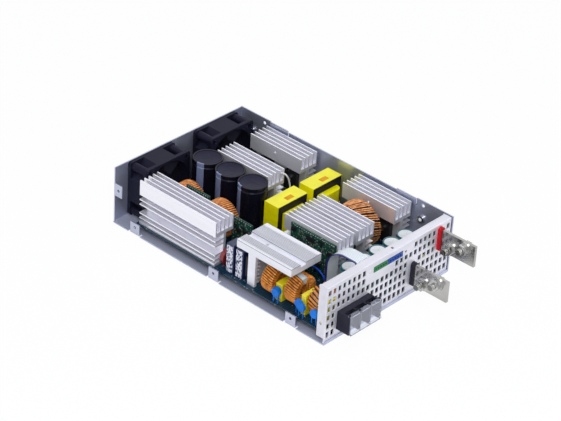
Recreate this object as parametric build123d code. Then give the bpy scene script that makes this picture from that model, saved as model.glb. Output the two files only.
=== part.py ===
from build123d import *
import os
from math import cos, pi, radians, sin

os.makedirs("parts", exist_ok=True)

# Case: +X is the tall right wall, -Y the front panel, z 0 the underside
case_length = 278.0
case_width = 177.8
wall_height = 62.5
sheet = 1.2
bend = 0.8
seam = 0.4
cover_sheet = 1.1
lip_height = 3.2

left = -case_width / 2
right = case_width / 2
front = -case_length / 2
rear = case_length / 2
inner_right = right - sheet
inner_rear = rear - sheet
floor_top = sheet

# Low tabs on the left edge, the flange of the rear wall, the lowered middle of the right wall
tab_width = 12.5
tab_height = 12.2
tab_hole = 1.5
tab_front_gap = 36.7
tab_middle = -3.2
tab_rear_gap = 35.7
relief = 2.0
flange_depth = 9.5
flange_low = 31.0
flange_high = 44.5
wall_drop = 2.3
drop_front = 70.0
drop_rear = 66.0
joggle_length = 25.0
joggle_height = 8.0

# Holes that hold the case or its cover
thread_m4 = 2.0
thread_m3 = 1.5
floor_hole_x = 140.0
floor_hole_y = 210.0
side_hole_front = 37.2
side_hole_rear = 16.8
side_hole_z = 42.5
cover_hole = 1.75
cover_hole_z = 57.4
cover_hole_front = 36.6
cover_hole_rear = 33.1
nut_outer = 4.0
nut_height = 2.2

# Front panel
panel_sheet = 1.2
panel_gap = 0.9
panel_bend = 1.0
panel_top = 61.8
top_flange = 8.5
side_flange = 9.5
foot_flange = 7.0
slot_width = 4.2
slot_height = 6.2
slot_pitch_x = 6.64
slot_pitch_z = 9.04
slot_rows = 6
slot_first_x = 5.4
slot_columns = int((case_width - 2 * slot_first_x) / slot_pitch_x) + 1
slot_top_z = 54.3
panel_front = front + sheet
panel_back = panel_front + panel_sheet

# Fans on the rear wall
fan_size = 60.0
fan_depth = 25.0
fan_corner = 3.2
fan_flange = 3.8
fan_bore = 28.4
fan_hole = 2.15
fan_hole_pitch = 50.0
fan_lift = 0.9
fan_left_x = left + 47.9
fan_right_x = inner_right - 39.7
fan_post = 4.2
fan_web = 2.4
hub_radius = 12.4
hub_wall = 2.5
hub_depth = 17.0
hub_face = 1.6
blade_count = 7
blade_root_chord = 14.5
blade_tip_chord = 19.0
blade_thickness = 1.2
blade_root_angle = 50.0
blade_tip_angle = 62.0
blade_clearance = 0.5
shaft_radius = 1.5
shaft_fit = 0.05
stator_radius = 8.6
strut_width = 2.4
motor_base = 2.0
fan_axis_z = floor_top + fan_lift + fan_size / 2
fan_front = inner_rear - fan_depth
grille_bar = 3.0
grille_rings = ((8.0, 11.6), (14.4, 18.0), (20.8, 24.6))

# Main board
standoff_height = 6.8
standoff_radius = 3.0
board_thickness = 1.6
board_left_gap = 5.7
board_right_gap = 2.2
board_front_gap = 1.2
board_rear_gap = 0.4
board_low = floor_top + standoff_height
board_top = board_low + board_thickness
board_left = left + board_left_gap
board_right = inner_right - board_right_gap
board_front = panel_back + board_front_gap
board_rear = fan_front - board_rear_gap

# Screws
m3_head = 2.8
m3_head_height = 1.9
m3_shank_fit = 0.1
m4_head = 3.5
m4_head_height = 2.3
fan_screw_length = 9.0

# Fins of the extruded heatsinks
sink_top = 58.5
fin_count = 5
fin_pitch = 5.6
fin_thickness = 1.3
fin_height = 12.3
sink_base = 4.0
web_thickness = 3.0
side_fin_depth = 11.0
side_fin_drops = (4.6, 9.9, 19.8, 25.2)
sink_foot = 3.0
sink_width = (fin_count - 1) * fin_pitch + fin_thickness
fin_root = sink_top - fin_height
web_top = fin_root - sink_base
sink_left_x = left + 7.4
sink_left_rear = rear - 29.0
rear_row = rear - 39.5
rear_row_length = 68.0
rear_centre_x = 13.5
rear_right_x = inner_right - 26.9
front_row = front + 48.5
centre_gap = 4.4
fin_hole = 1.3

# Transistors on the webs
package_width = 15.8
package_depth = 4.9
package_height = 20.0
package_lift = 5.0
lead_width = 1.2
lead_pitch = 5.4
lead_thickness = 0.7

# Rectifier heatsink
bar_left = left + 10.4
bar_front = front + 53.2
bar_length = 69.0
bar_top = 52.0
bar_thickness = 8.4
left_edge = 2.4
channel_left = 12.8
channel_width = 6.6
channel_depth = 3.2
right_edge = 4.6
bar_hole_x = 17.4
bar_hole_y = 46.4
ridge_pitch = 1.6
ridge_width = 0.8
ridge_height = 0.9
stem_thickness = 5.0
stem_inset = 6.5
stem_front = 48.8
stem_end_depth = 9.2
stem_end = 3.0
stem_rib = 1.2
stem_rib_depth = 3.0
stem_rib_pitch = 4.2
stem_rib_count = 7
stem_rib_width = 5.0
bridge_width = 30.0
bridge_height = 22.0
bridge_depth = 4.8

# Bulk capacitors
bulk_radius = 14.8
bulk_height = 48.4
bulk_gap = 0.9
bulk_x = -2.2
bulk_end_gap = 0.4
crimp_drop = 4.5
crimp_depth = 0.9
rim_width = 1.5
rim_depth = 0.7

# Ring chokes
boost_outer = 19.0
boost_inner = 8.0
boost_width = 15.0
boost_x = left + 51.4
boost_rear_y = rear - 52.0
boost_front_y = rear - 96.0
boost_turns = 22
output_outer = 24.0
output_inner = 9.0
output_width = 21.0
output_turns = 14
filter_outer = 15.4
filter_inner = 6.0
filter_width = 15.0
filter_turns = 11
filter_sweep = 148.0
filter_x = left + 21.9
filter_step_x = 2.6
filter_rear_y = front + 80.5
filter_pitch = 26.8
coarse_turns = 8
boost_wire = 1.7
output_wire = 2.2
filter_wire = 1.6
coarse_wire = 2.2
wire_notch = 0.9

# Transformers
core_width = 40.0
core_depth = 18.6
core_low = 12.6
core_top = 50.0
yoke = 8.0
outer_leg = 6.0
centre_leg = 12.0
winding_gap = 0.4
winding_bulge = 7.5
tape = 0.5
transformer_right_x = inner_right - 27.7
transformer_left_x = transformer_right_x - 49.5

# Capacitors and small parts
output_cap_radius = 8.8
output_cap_height = 36.4
output_cap_pitch = 20.0
output_cap_count = 5
output_cap_first_x = -27.5
output_cap_front = 27.0
box_edge = 0.7
disc_radius = 4.4
disc_thickness = 2.7
disc_lift = 7.0
disc_lead = 0.7
varistor_radius = 7.5
varistor_thickness = 4.6
film_left = board_left + 4.6
film_width = 14.6
film_depth = 9.2
film_height = 32.0
film_pitch = 12.2

# Small boards
small_board = 1.4
control_height = 45.0
sense_x = left + 42.4
sense_rear = rear - 57.0
sense_length = 31.0
sense_height = 43.0
gate_x = left + 44.4
gate_rear = rear - 117.0
gate_length = 26.0
gate_height = 35.4
signal_y = panel_back + 3.6
signal_left = -41.0
signal_right = 20.5
signal_low = 32.0
signal_top = 58.6
signal_leg = 8.0

# Ribbon cable
ribbon_left = -38.5
ribbon_width = 16.6
ribbon_thickness = 0.9
ribbon_rise_y = front + 46.0
ribbon_top = 62.0
ribbon_bend = 20.0
ribbon_drop_bend = 3.0
socket_height = 6.4
socket_depth = 5.0
socket_upper_depth = 6.6
socket_side = 1.0
ribbon_fit = 0.1

# Signal connectors in the panel window
window_low = 49.4
window_height = 6.4
green_left = -23.6
green_width = 18.8
blue_width = 21.0
connector_gap = 0.5
window_gap = 0.4
connector_proud = 0.4
pin_pitch = 3.5
pin_hole = 1.9

# Output busbars
bar_sheet = 3.0
bar_height = 22.5
bar_reach = 43.5
bar_inside = 12.0
bar_foot = 8.0
negative_x = inner_right - 55.1
negative_low = 11.6
positive_x = inner_right - 18.3
positive_low = 34.4
sleeve_wall = 1.8
sleeve_proud = 3.4
sleeve_inside = 2.4
sleeve_fit = 0.1
bolt_first = 15.0
bolt_spacing = 16.2
bolt_stagger = 4.0
bolt_radius = 3.0
bolt_core = 2.68
bolt_fit = 0.25
bolt_head = 5.77
bolt_head_height = 4.0
bolt_free = 4.2
bolt_free_gap = 0.3
nut_hex = 5.77
nut_flange = 7.1
nut_flange_height = 1.3
nut_total = 6.0

# Mains terminal block
block_left = left + 17.7
cell_width = 12.0
barrier = 1.8
cell_count = 3
block_reach = 14.6
block_inside = 5.6
block_height = 19.6
cell_depth = 8.4
clamp_size = 10.0
clamp_thickness = 1.2
clamp_head = 3.6
clamp_head_height = 2.4
block_width = cell_count * cell_width + (cell_count + 1) * barrier
block_front = panel_front - block_reach
block_top = board_top + block_height
cover_rod = 0.9
cover_fit = 0.1
cover_knuckle = 1.8
cover_mouth = 1.5
cover_plate = 1.3
cover_reach = 2.3
cover_ridge = 0.8
cover_ridge_height = 2.4
cover_rod_drop = 0.1
cover_end = 0.5

# Places along the case: the capacitors follow the fans, the transformers follow them,
# and the front and left heatsinks fill what is left
bulk_rear = board_rear - bulk_end_gap
bulk_front = bulk_rear - 6 * bulk_radius - 2 * bulk_gap
transformer_gap = 0.6
row_gap = 10.7
transformer_y = bulk_front - transformer_gap - winding_bulge - core_depth / 2
transformer_front = transformer_y - core_depth / 2 - winding_bulge
front_row_length = transformer_front - row_gap - front_row
output_place = 0.4183
output_y = front_row + output_place * (transformer_front - front_row)
film_front = bar_front + bar_length - 8.4
film_end = film_front + film_pitch + film_depth
varistor_y = film_end + 3.4
sink_left_front = varistor_y + varistor_thickness + 3.8
sink_left_length = sink_left_rear - sink_left_front

# Places across the case, from the right wall to the rectifier heatsink
choke_gap_right = 6.8
choke_gap_left = 2.4
control_gap = 1.7
bar_gap = 15.1
output_x = rear_right_x - choke_gap_right - output_width / 2
centre_right_x = output_x - output_width / 2 - choke_gap_left - sink_width
centre_left_x = centre_right_x - centre_gap - sink_width
control_x = centre_left_x - control_gap
control_front_gap = 0.5
control_rear_gap = 10.0
control_rear = front_row + front_row_length - control_rear_gap
control_length = front_row_length - control_rear_gap - control_front_gap
bar_width = control_x - bar_gap - bar_left
stem_width = bar_width - stem_inset

parts = {}


def block(x0, x1, y0, y1, z0, z1):
    """A box between two corners."""
    centre = Pos((x0 + x1) / 2, (y0 + y1) / 2, (z0 + z1) / 2)
    return centre * Box(x1 - x0, y1 - y0, z1 - z0)


def rod(axis, x, y, z, radius, length):
    """A round bar that starts at a point and runs along +X, +Y or +Z."""
    turn = {"x": Rot(0, 90, 0), "y": Rot(-90, 0, 0), "z": Rot(0, 0, 0)}[axis]
    base = (Align.CENTER, Align.CENTER, Align.MIN)
    return Pos(x, y, z) * turn * Cylinder(radius, length, align=base)


def prism(axis, x, y, z, sketch, length):
    """A flat outline pushed along +X, +Y or +Z from a point."""
    planes = {
        "x": Plane((x, y, z), x_dir=(0, 1, 0), z_dir=(1, 0, 0)),
        "y": Plane((x, y, z), x_dir=(-1, 0, 0), z_dir=(0, 1, 0)),
        "z": Plane((x, y, z), x_dir=(1, 0, 0), z_dir=(0, 0, 1)),
    }
    return extrude(planes[axis] * sketch, amount=length)


def flat(x0, x1, y0, y1):
    """A rectangle between two corners of a sketch."""
    return Pos((x0 + x1) / 2, (y0 + y1) / 2) * Rectangle(x1 - x0, y1 - y0)


def group(pieces):
    """Separate solids that share one node."""
    return Compound(children=list(pieces))


def folded_wall(length, height):
    """Section of a floor and a wall bent up at its far end, with round folds."""
    outline = flat(0, length, 0, sheet) + flat(length - sheet, length, 0, height)
    outer = outline.vertices().filter_by(lambda v: abs(v.X - length) < 0.01 and v.Y < 0.01)
    outline = fillet(outer, bend + sheet)
    inner = outline.vertices().filter_by(
        lambda v: abs(v.X - length + sheet) < 0.01 and abs(v.Y - sheet) < 0.01
    )
    return fillet(inner, bend)


def fan_centres():
    return (fan_left_x, fan_right_x)


def floor_holes():
    return [(sx * floor_hole_x / 2, sy * floor_hole_y / 2) for sx in (-1, 1) for sy in (-1, 1)]


def standoff_places():
    """Board screws, where the parts on the board leave room for their heads."""
    return [
        (left + 36.4, rear - 33.5),
        (left + 36.4, rear - 137.5),
        (left + 52.9, rear - 183.0),
        (left + 44.9, front + 13.0),
        (inner_right - 62.7, rear - 32.5),
        (inner_right - 6.7, rear - 33.5),
        (inner_right - 6.7, rear - 117.0),
        (rear_right_x - choke_gap_right / 2, output_y),
        (inner_right - 6.7, front + 42.0),
        (inner_right - 6.7, front + 13.0),
    ]


def panel_screw_places():
    y = panel_back + foot_flange / 2 + 0.3
    return [(left + 14.0, y), (0.0, y), (inner_right - 10.0, y)]


def side_holes():
    return [front + side_hole_front, rear - side_hole_rear]


def make_tray():
    corner = bend + sheet
    rear_section = folded_wall(case_length, wall_height)
    body = prism("x", left, front, 0, rear_section, case_width - corner)
    side_section = mirror(folded_wall(case_width, wall_height), Plane.YZ)
    body += prism("y", left, front, 0, side_section, case_length - corner)
    body += block(right - corner, inner_right - seam, inner_rear, rear, corner, wall_height)
    body += block(inner_right, right, rear - corner, rear, corner, wall_height)
    body -= block(inner_right - seam, inner_right, inner_rear - 1, rear + 1, corner, wall_height + 1)
    # front lip and rear wall flange
    body += block(left + corner, inner_right - seam, front, front + sheet, 0, lip_height)
    flange_x = left + cover_sheet
    body += block(flange_x, flange_x + sheet, inner_rear - flange_depth, rear, flange_low, flange_high)
    body -= block(left - 1, flange_x, inner_rear - 1, rear + 1, sheet, wall_height + 1)
    flange_mid = (flange_low + flange_high) / 2
    body -= rod("x", flange_x - 1, inner_rear - flange_depth / 2, flange_mid, tab_hole, sheet + 2)
    # left tabs with their relief notches
    tab_x = left + cover_sheet
    for y0 in (front + tab_front_gap, tab_middle, rear - tab_rear_gap):
        y1 = y0 + tab_width
        notch = tab_x + sheet + relief
        body -= block(left - 1, tab_x, y0 - relief, y1 + relief, -1, sheet + 1)
        body -= block(left - 1, notch, y0 - relief, y0, -1, sheet + 1)
        body -= block(left - 1, notch, y1, y1 + relief, -1, sheet + 1)
        body += block(tab_x, tab_x + sheet, y0, y1, 0, tab_height)
        hole_z = (tab_height + sheet) / 2 + 0.6
        body -= rod("x", tab_x - 1, (y0 + y1) / 2, hole_z, tab_hole, sheet + 2)
    # lowered middle of the right wall, with a joggled tab at each end of it
    drop_y0 = front + drop_front
    drop_y1 = rear - drop_rear
    body -= block(inner_right - 1, right + 1, drop_y0, drop_y1, wall_height - wall_drop, wall_height + 1)
    for y0 in (drop_y0 - joggle_length, drop_y1):
        y1 = y0 + joggle_length
        low = wall_height - joggle_height
        body -= block(inner_right, right + 1, y0, y1, low + sheet, wall_height + 1)
        body += block(inner_right - sheet, inner_right, y0 + seam, y1 - seam, low, wall_height)
    # holes
    for x, y in floor_holes():
        body -= rod("z", x, y, -1, thread_m4, sheet + 2)
    for x, y in standoff_places():
        body -= rod("z", x, y, -1, thread_m3, sheet + 2)
    for x, y in panel_screw_places():
        body -= rod("z", x, y, -1, thread_m3, sheet + 2)
    for y in side_holes():
        body -= rod("x", inner_right - 1, y, side_hole_z, thread_m4, sheet + 2)
    for y in (front + cover_hole_front, rear - cover_hole_rear):
        body -= rod("x", inner_right - 1, y, cover_hole_z, cover_hole, sheet + 2)
    for x in fan_centres():
        body -= prism("y", x, inner_rear - 1, fan_axis_z, fan_grille(), sheet + 2)
    return body


def fan_grille():
    """Ring slots in front of a fan and its four screw holes."""
    rings = Sketch()
    for inner, outer in grille_rings:
        rings += Circle(outer) - Circle(inner)
    for angle in (0, 90):
        rings -= Rot(0, 0, angle) * Rectangle(grille_bar, fan_size)
    return rings + GridLocations(fan_hole_pitch, fan_hole_pitch, 2, 2) * Circle(fan_hole)


def keep_outs():
    """Places of the panel that carry no vent slots, as x0, x1, z0, z1."""
    window_right = green_left + green_width + connector_gap + blue_width
    window_zone = window_low - slot_height / 2 - 0.8
    return [
        (green_left - 9.5, window_right + 15.0, window_zone, panel_top),
        (green_left - 9.5, window_right - 8.0, window_zone - slot_pitch_z, panel_top),
        (block_left - 3.2, block_left + block_width + 3.4, 0, block_top + 3.4),
        (negative_x - 5.6, negative_x + 8.6, 0, negative_low + bar_height + 5.5),
        (positive_x - 5.6, positive_x + 8.6, positive_low - 5.0, panel_top),
    ]


def slot_places():
    """Centres of the vent slots, a regular grid less the places that stay plain."""
    places = []
    zones = keep_outs()
    for column in range(slot_columns):
        for row in range(slot_rows):
            x = left + slot_first_x + column * slot_pitch_x
            z = slot_top_z - row * slot_pitch_z
            if not any(x0 < x < x1 and z0 < z < z1 for x0, x1, z0, z1 in zones):
                places.append((x, z))
    return places


def sleeve_outline(grow):
    """Rounded outline of a busbar sleeve, larger all round by grow."""
    width = bar_sheet + 2 * sleeve_wall + 2 * grow
    height = bar_height + 2 * sleeve_wall + 2 * grow
    return RectangleRounded(width, height, width / 2 - 0.2)


def busbar_centres():
    half = bar_sheet / 2
    return [
        (negative_x + half, negative_low + bar_height / 2),
        (positive_x + half, positive_low + bar_height / 2),
    ]


def make_panel():
    x0 = left + cover_sheet
    x1 = inner_right - panel_gap
    body = block(x0, x1, panel_front, panel_back, floor_top, panel_top)
    body += block(x0, x1, panel_front, panel_front + top_flange, panel_top - panel_sheet, panel_top)
    body += block(x0, x0 + panel_sheet, panel_front, panel_front + side_flange, lip_height + 3, panel_top)
    body += block(x1 - panel_sheet, x1, panel_front, panel_front + side_flange, lip_height + 3, panel_top)
    foot_end = panel_back + foot_flange
    body += block(x0 + 6, x1 - 6, panel_front, foot_end, floor_top, floor_top + panel_sheet)
    folds = body.edges().filter_by(
        lambda e: e.length > 40
        and abs(e.center().Y - panel_front) < 0.01
        and (abs(e.center().Z - panel_top) < 0.01 or abs(e.center().X - x0) < 0.01)
    )
    body = fillet(folds, panel_bend)
    cut = Sketch()
    for x, z in slot_places():
        cut += Pos(-x, z) * Rectangle(slot_width, slot_height)
    window_width = green_width + connector_gap + blue_width + 2 * window_gap
    window_x = green_left - window_gap + window_width / 2
    window_z = window_low + window_height / 2
    cut += Pos(-window_x, window_z) * Rectangle(window_width, window_height)
    mouth_low = board_top - window_gap
    mouth_high = block_top + window_gap
    mouth_width = block_width + 2 * window_gap
    mouth_x = block_left + block_width / 2
    mouth_z = (mouth_low + mouth_high) / 2
    cut += Pos(-mouth_x, mouth_z) * Rectangle(mouth_width, mouth_high - mouth_low)
    for x, z in busbar_centres():
        cut += Pos(-x, z) * sleeve_outline(sleeve_fit)
    cut += Pos(-(green_left - 5.0), window_z) * Circle(1.3)
    cut += Pos(-(window_x + window_width / 2 + 4.2), window_z) * Circle(1.5)
    body -= prism("y", 0, panel_front - 1, 0, cut, panel_sheet + 2)
    for x, y in panel_screw_places():
        body -= rod("z", x, y, floor_top - 1, thread_m3 + m3_shank_fit, panel_sheet + 2)
    flange_z = 21.0
    flange_y = panel_front + side_flange - 4.0
    body -= rod("x", x0 - 1, flange_y, flange_z, thread_m3, panel_sheet + 2)
    body -= rod("z", green_left + 29.5, panel_front + top_flange / 2, panel_top - 3, thread_m3, 5)
    return body


def make_frame(x):
    """Moulded fan frame: two corner plates, a round barrel, and the motor seat on four struts."""
    plate = RectangleRounded(fan_size, fan_size, fan_corner) - Circle(fan_bore)
    plate -= GridLocations(fan_hole_pitch, fan_hole_pitch, 2, 2) * Circle(fan_hole)
    y = fan_front
    body = prism("y", x, y, fan_axis_z, plate, fan_flange)
    body += prism("y", x, inner_rear - fan_flange, fan_axis_z, plate, fan_flange)
    # between the plates the barrel is eight-sided outside, with a screw post at each corner
    barrel = Rot(0, 0, 22.5) * RegularPolygon(fan_size / 2, 8, major_radius=False)
    barrel += GridLocations(fan_hole_pitch, fan_hole_pitch, 2, 2) * Circle(fan_post)
    for angle in (45, 135):
        barrel += Rot(0, 0, angle) * Rectangle(fan_hole_pitch * 2**0.5, fan_web)
    barrel -= Circle(fan_bore)
    barrel -= GridLocations(fan_hole_pitch, fan_hole_pitch, 2, 2) * Circle(fan_hole)
    body += prism("y", x, y, fan_axis_z, barrel, fan_depth)
    struts = Circle(hub_radius)
    for angle in (45, 135):
        struts += Rot(0, 0, angle) * Rectangle(strut_width, 2 * fan_bore + 1)
    body += prism("y", x, inner_rear - motor_base - 0.4, fan_axis_z, struts, motor_base)
    motor = inner_rear - motor_base - 0.4
    motor_length = hub_depth - hub_face - 1.6
    body += rod("y", x, motor - motor_length, fan_axis_z, stator_radius, motor_length)
    bore = shaft_radius + shaft_fit
    body -= rod("y", x, motor - motor_length - 1, fan_axis_z, bore, motor_length + 1)
    return body


def make_rotor(x):
    """Hub cup, shaft and swept blades; each blade is lofted from a steep root to a flatter tip."""
    motor = inner_rear - motor_base - 0.4
    hub_end = motor - 0.8
    hub_start = hub_end - hub_depth
    cup = rod("y", x, hub_start, fan_axis_z, hub_radius, hub_depth)
    cup -= rod("y", x, hub_start + hub_face, fan_axis_z, hub_radius - hub_wall, hub_depth)
    cup += rod("y", x, hub_start + hub_face, fan_axis_z, shaft_radius, hub_depth - hub_face - 1.0)
    tip = fan_bore - blade_clearance
    root = hub_radius - hub_wall + 0.7
    middle = (hub_start + hub_end) / 2
    blades = Part()
    for index in range(blade_count):
        angle = 2 * pi * index / blade_count
        out = (cos(angle), 0, sin(angle))
        sections = []
        for radius, chord, pitch in (
            (root, blade_root_chord, blade_root_angle),
            (tip + 1, blade_tip_chord, blade_tip_angle),
        ):
            origin = (x + out[0] * radius, middle, fan_axis_z + out[2] * radius)
            plane = Plane(origin, x_dir=(0, 1, 0), z_dir=out)
            sections.append(plane * Rot(0, 0, pitch) * Rectangle(chord, blade_thickness))
        blades += loft(sections, ruled=True)
    sweep_space = rod("y", x, hub_start, fan_axis_z, tip, hub_depth)
    return cup + (blades & sweep_space)


def make_screw(axis, x, y, z, sign, head, head_height, shank, length):
    """Pan head screw; its head's seat is at the point and its shank runs along sign times the axis."""
    steps = {"y": (0, 1, 0), "z": (0, 0, 1), "x": (1, 0, 0)}[axis]
    start = [value - (length if sign < 0 else 0) * step for value, step in zip((x, y, z), steps)]
    body = rod(axis, *start, shank, length)
    top = [value - (head_height if sign > 0 else 0) * step for value, step in zip((x, y, z), steps)]
    return body + rod(axis, *top, head, head_height)


def fan_screws():
    shank = fan_hole - 0.1
    half = fan_hole_pitch / 2
    screws = []
    for x in fan_centres():
        for dx in (-half, half):
            for dz in (-half, half):
                place = (x + dx, rear, fan_axis_z + dz)
                screws.append(make_screw("y", *place, -1, m4_head, m4_head_height, shank, fan_screw_length))
    return screws


def make_board():
    body = block(board_left, board_right, board_front, board_rear, board_low, board_top)
    for x, y in standoff_places():
        body -= rod("z", x, y, board_low - 1, thread_m3 + m3_shank_fit, board_thickness + 2)
    return body


def standoffs():
    """Clinch pillars: a round post with a threaded bore, its spigot pressed in the floor."""
    pillars = []
    for x, y in standoff_places():
        pillar = rod("z", x, y, floor_top, standoff_radius, standoff_height)
        pillars.append(pillar - rod("z", x, y, floor_top - 1, thread_m3, standoff_height + 2))
    return pillars


def m3_screws():
    screws = []
    head = (m3_head, m3_head_height, thread_m3)
    for x, y in standoff_places():
        screws.append(make_screw("z", x, y, board_top, -1, *head, board_thickness + 5))
    for x, y in panel_screw_places():
        screws.append(make_screw("z", x, y, floor_top + panel_sheet, -1, *head, panel_sheet + sheet))
    return screws


def press_nuts():
    ring = Circle(nut_outer) - Circle(thread_m4)
    return [prism("x", inner_right - nut_height, y, side_hole_z, ring, nut_height) for y in side_holes()]


def sink_section(side):
    """Extrusion outline: upright fins on a base, a web below it, and level fins on one side.

    The outline starts at the tips of the level fins; side is -1 for tips on the left."""
    outline = flat(0, sink_width, web_top, fin_root)
    for index in range(fin_count):
        x = index * fin_pitch
        outline += flat(x, x + fin_thickness, web_top, sink_top)
    outline += flat(side_fin_depth, side_fin_depth + web_thickness, board_top, web_top)
    for drop in side_fin_drops:
        z = web_top - drop
        outline += flat(0, side_fin_depth, z - fin_thickness, z)
    outline += flat(0, side_fin_depth, board_top, board_top + sink_foot)
    if side > 0:
        outline = Pos(sink_width, 0) * mirror(outline, Plane.YZ)
    return outline


def make_sink(x, y_rear, length, side, pierced=False):
    outline = mirror(sink_section(side), Plane.YZ)
    body = prism("y", x, y_rear - length, 0, outline, length)
    if pierced:
        y = y_rear - length / 2
        body -= rod("x", x - 1, y, fin_root + fin_height / 2, fin_hole, fin_thickness + 2)
    return body


def web_face(x, side):
    """Face of the web away from the level fins."""
    reach = side_fin_depth + web_thickness
    return x + reach if side < 0 else x + sink_width - reach


def make_package(x_face, direction, y):
    """Power transistor: moulded body flat on the web, three legs into the board."""
    x0, x1 = sorted((x_face, x_face + direction * package_depth))
    low = board_top + package_lift
    body = block(x0, x1, y - package_width / 2, y + package_width / 2, low, low + package_height)
    middle = (x0 + x1) / 2
    for step in (-1, 0, 1):
        leg = y + step * lead_pitch
        t = lead_thickness / 2
        w = lead_width / 2
        body += block(middle - t, middle + t, leg - w, leg + w, board_top, low)
    return body


def sink_rows():
    """Name, left edge, rear end, length, side of the level fins, number of packages."""
    return [
        ("heatsink_left", sink_left_x, sink_left_rear, sink_left_length, -1, 3),
        ("heatsink_rear_centre", rear_centre_x, rear_row, rear_row_length, 1, 2),
        ("heatsink_rear_right", rear_right_x, rear_row, rear_row_length, 1, 2),
        ("heatsink_front_right", rear_right_x, front_row + front_row_length, front_row_length, 1, 2),
        ("heatsink_centre_left", centre_left_x, front_row + front_row_length, front_row_length, -1, 2),
        ("heatsink_centre_right", centre_right_x, front_row + front_row_length, front_row_length, 1, 2),
    ]


def make_packages():
    packages = []
    screws = []
    for name, x, y_rear, length, side, count in sink_rows():
        face = web_face(x, side)
        direction = 1 if side < 0 else -1
        for index in range(count):
            y = y_rear - length * (index + 0.5) / count
            package = make_package(face, direction, y)
            hole_z = board_top + package_lift + package_height - 5.5
            start = min(face, face + direction * package_depth)
            package -= rod("x", start - 1, y, hole_z, thread_m3 + m3_shank_fit, package_depth + 2)
            packages.append(package)
            place = (face + direction * package_depth, y, hole_z)
            head = (m3_head, m3_head_height, thread_m3)
            screws.append(make_screw("x", *place, -direction, *head, package_depth + web_thickness))
    return packages, screws


def ridges(x0, x1):
    """Fine ridges side by side between two places of the rectifier heatsink's outline."""
    floor = bar_top - ridge_height
    count = int((x1 - x0) / ridge_pitch)
    comb = flat(x0, x1, floor - 0.5, floor)
    for index in range(count):
        start = x0 + (index + 0.5) * (x1 - x0) / count - ridge_width / 2
        comb += flat(start, start + ridge_width, floor - 0.5, bar_top)
    return comb


def make_rectifier_sink():
    """Ribbed bar on a stem: the top has a ridged strip, a plain channel and a wide ridged field."""
    low = bar_top - bar_thickness
    floor = bar_top - ridge_height
    field = channel_left + channel_width
    outline = flat(0, bar_width, low, bar_top - channel_depth)
    outline += flat(0, channel_left, low, floor) + flat(field, bar_width, low, floor)
    outline += flat(0, left_edge, low, bar_top) + flat(bar_width - right_edge, bar_width, low, bar_top)
    outline += ridges(left_edge, channel_left) + ridges(field, bar_width - right_edge)
    body = prism("y", bar_left, bar_front, 0, mirror(outline, Plane.YZ), bar_length)
    stem_y = bar_front + stem_front
    body += block(bar_left, bar_left + stem_width, stem_y, stem_y + stem_thickness, board_top, low)
    end_y = stem_y + stem_thickness - stem_end_depth
    body += block(bar_left, bar_left + stem_end, end_y, stem_y + stem_thickness, board_top, low)
    for index in range(stem_rib_count):
        z = board_top + 2.0 + index * stem_rib_pitch
        x1 = bar_left + stem_end + stem_rib_width
        body += block(bar_left + stem_end, x1, stem_y - stem_rib_depth, stem_y, z, z + stem_rib)
    body -= rod("z", bar_left + bar_hole_x, bar_front + bar_hole_y, low - 1, thread_m3, bar_thickness + 2)
    return body


def make_bridge():
    """Flat bridge rectifier on the rear face of the stem, with its four legs in the board."""
    y0 = bar_front + stem_front + stem_thickness
    x0 = bar_left + 2.0
    low = board_top + package_lift
    body = block(x0, x0 + bridge_width, y0, y0 + bridge_depth, low, low + bridge_height)
    for index in range(4):
        x = x0 + 4.0 + index * (bridge_width - 8.0) / 3
        y = y0 + bridge_depth / 2
        w = lead_width / 2
        t = lead_thickness / 2
        body += block(x - w, x + w, y - t, y + t, board_top, low)
    return body


def make_can(x, y, radius, height, drop, depth, rim, recess):
    """Can of an electrolytic capacitor: crimped below its rolled rim, with a sunk lid."""
    top = board_top + height
    points = [
        (0, board_top),
        (radius, board_top),
        (radius, top - drop - depth),
        (radius - depth, top - drop),
        (radius, top - drop + depth),
        (radius, top),
        (radius - rim, top),
        (radius - rim, top - recess),
        (0, top - recess),
    ]
    half = make_face(Polyline(*points, close=True))
    half = Plane.XZ * half
    return Pos(x, y, 0) * revolve(half, Axis.Z)


def turns_outline(outer, inner, notch, turns, start, sweep):
    """Outline of a wound arc: the outer edge steps in between the turns."""
    step = sweep / turns
    wire = 0.72 * step
    points = []
    for index in range(turns):
        a0 = radians(start + index * step)
        a1 = radians(start + index * step + wire)
        a2 = radians(start + (index + 1) * step)
        for radius, angle in ((outer, a0), (outer, a1), (outer - notch, a1), (outer - notch, a2)):
            points.append((radius * cos(angle), radius * sin(angle)))
    for index in range(turns, -1, -1):
        angle = radians(start + index * step)
        points.append((inner * cos(angle), inner * sin(angle)))
    return make_face(Polyline(*points, close=True))


def core_ring(outer, inner, width, wire):
    return (outer - wire, inner + wire, width - 2 * wire)


def make_core(axis, x, y, z, outer, inner, width, wire):
    """Ring core inside a winding; x, y, z is the middle of its first face."""
    core_outer, core_inner, core_width = core_ring(outer, inner, width, wire)
    shift = (width - core_width) / 2
    dx, dy = (shift, 0) if axis == "x" else (0, shift)
    return prism(axis, x + dx, y + dy, z, Circle(core_outer) - Circle(core_inner), core_width)


def make_winding(axis, x, y, z, outer, inner, width, wire, turns, arcs):
    """Wound arcs round a ring core; each arc has two straight leads down to the board."""
    core = make_core(axis, x, y, z, outer, inner, width, wire)
    pieces = []
    for start, sweep in arcs:
        outline = turns_outline(outer, inner, wire_notch, turns, start, sweep)
        piece = prism(axis, x, y, z, outline, width) - core
        for across, along in lead_places(outer, width, wire, start, sweep):
            if axis == "x":
                lead_x, lead_y = x + along, y - across
            else:
                lead_x, lead_y = x - across, y + along
            piece += rod("z", lead_x, lead_y, board_top, wire / 2, z - board_top - outer * 0.9)
        pieces.append(piece)
    return pieces


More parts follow.
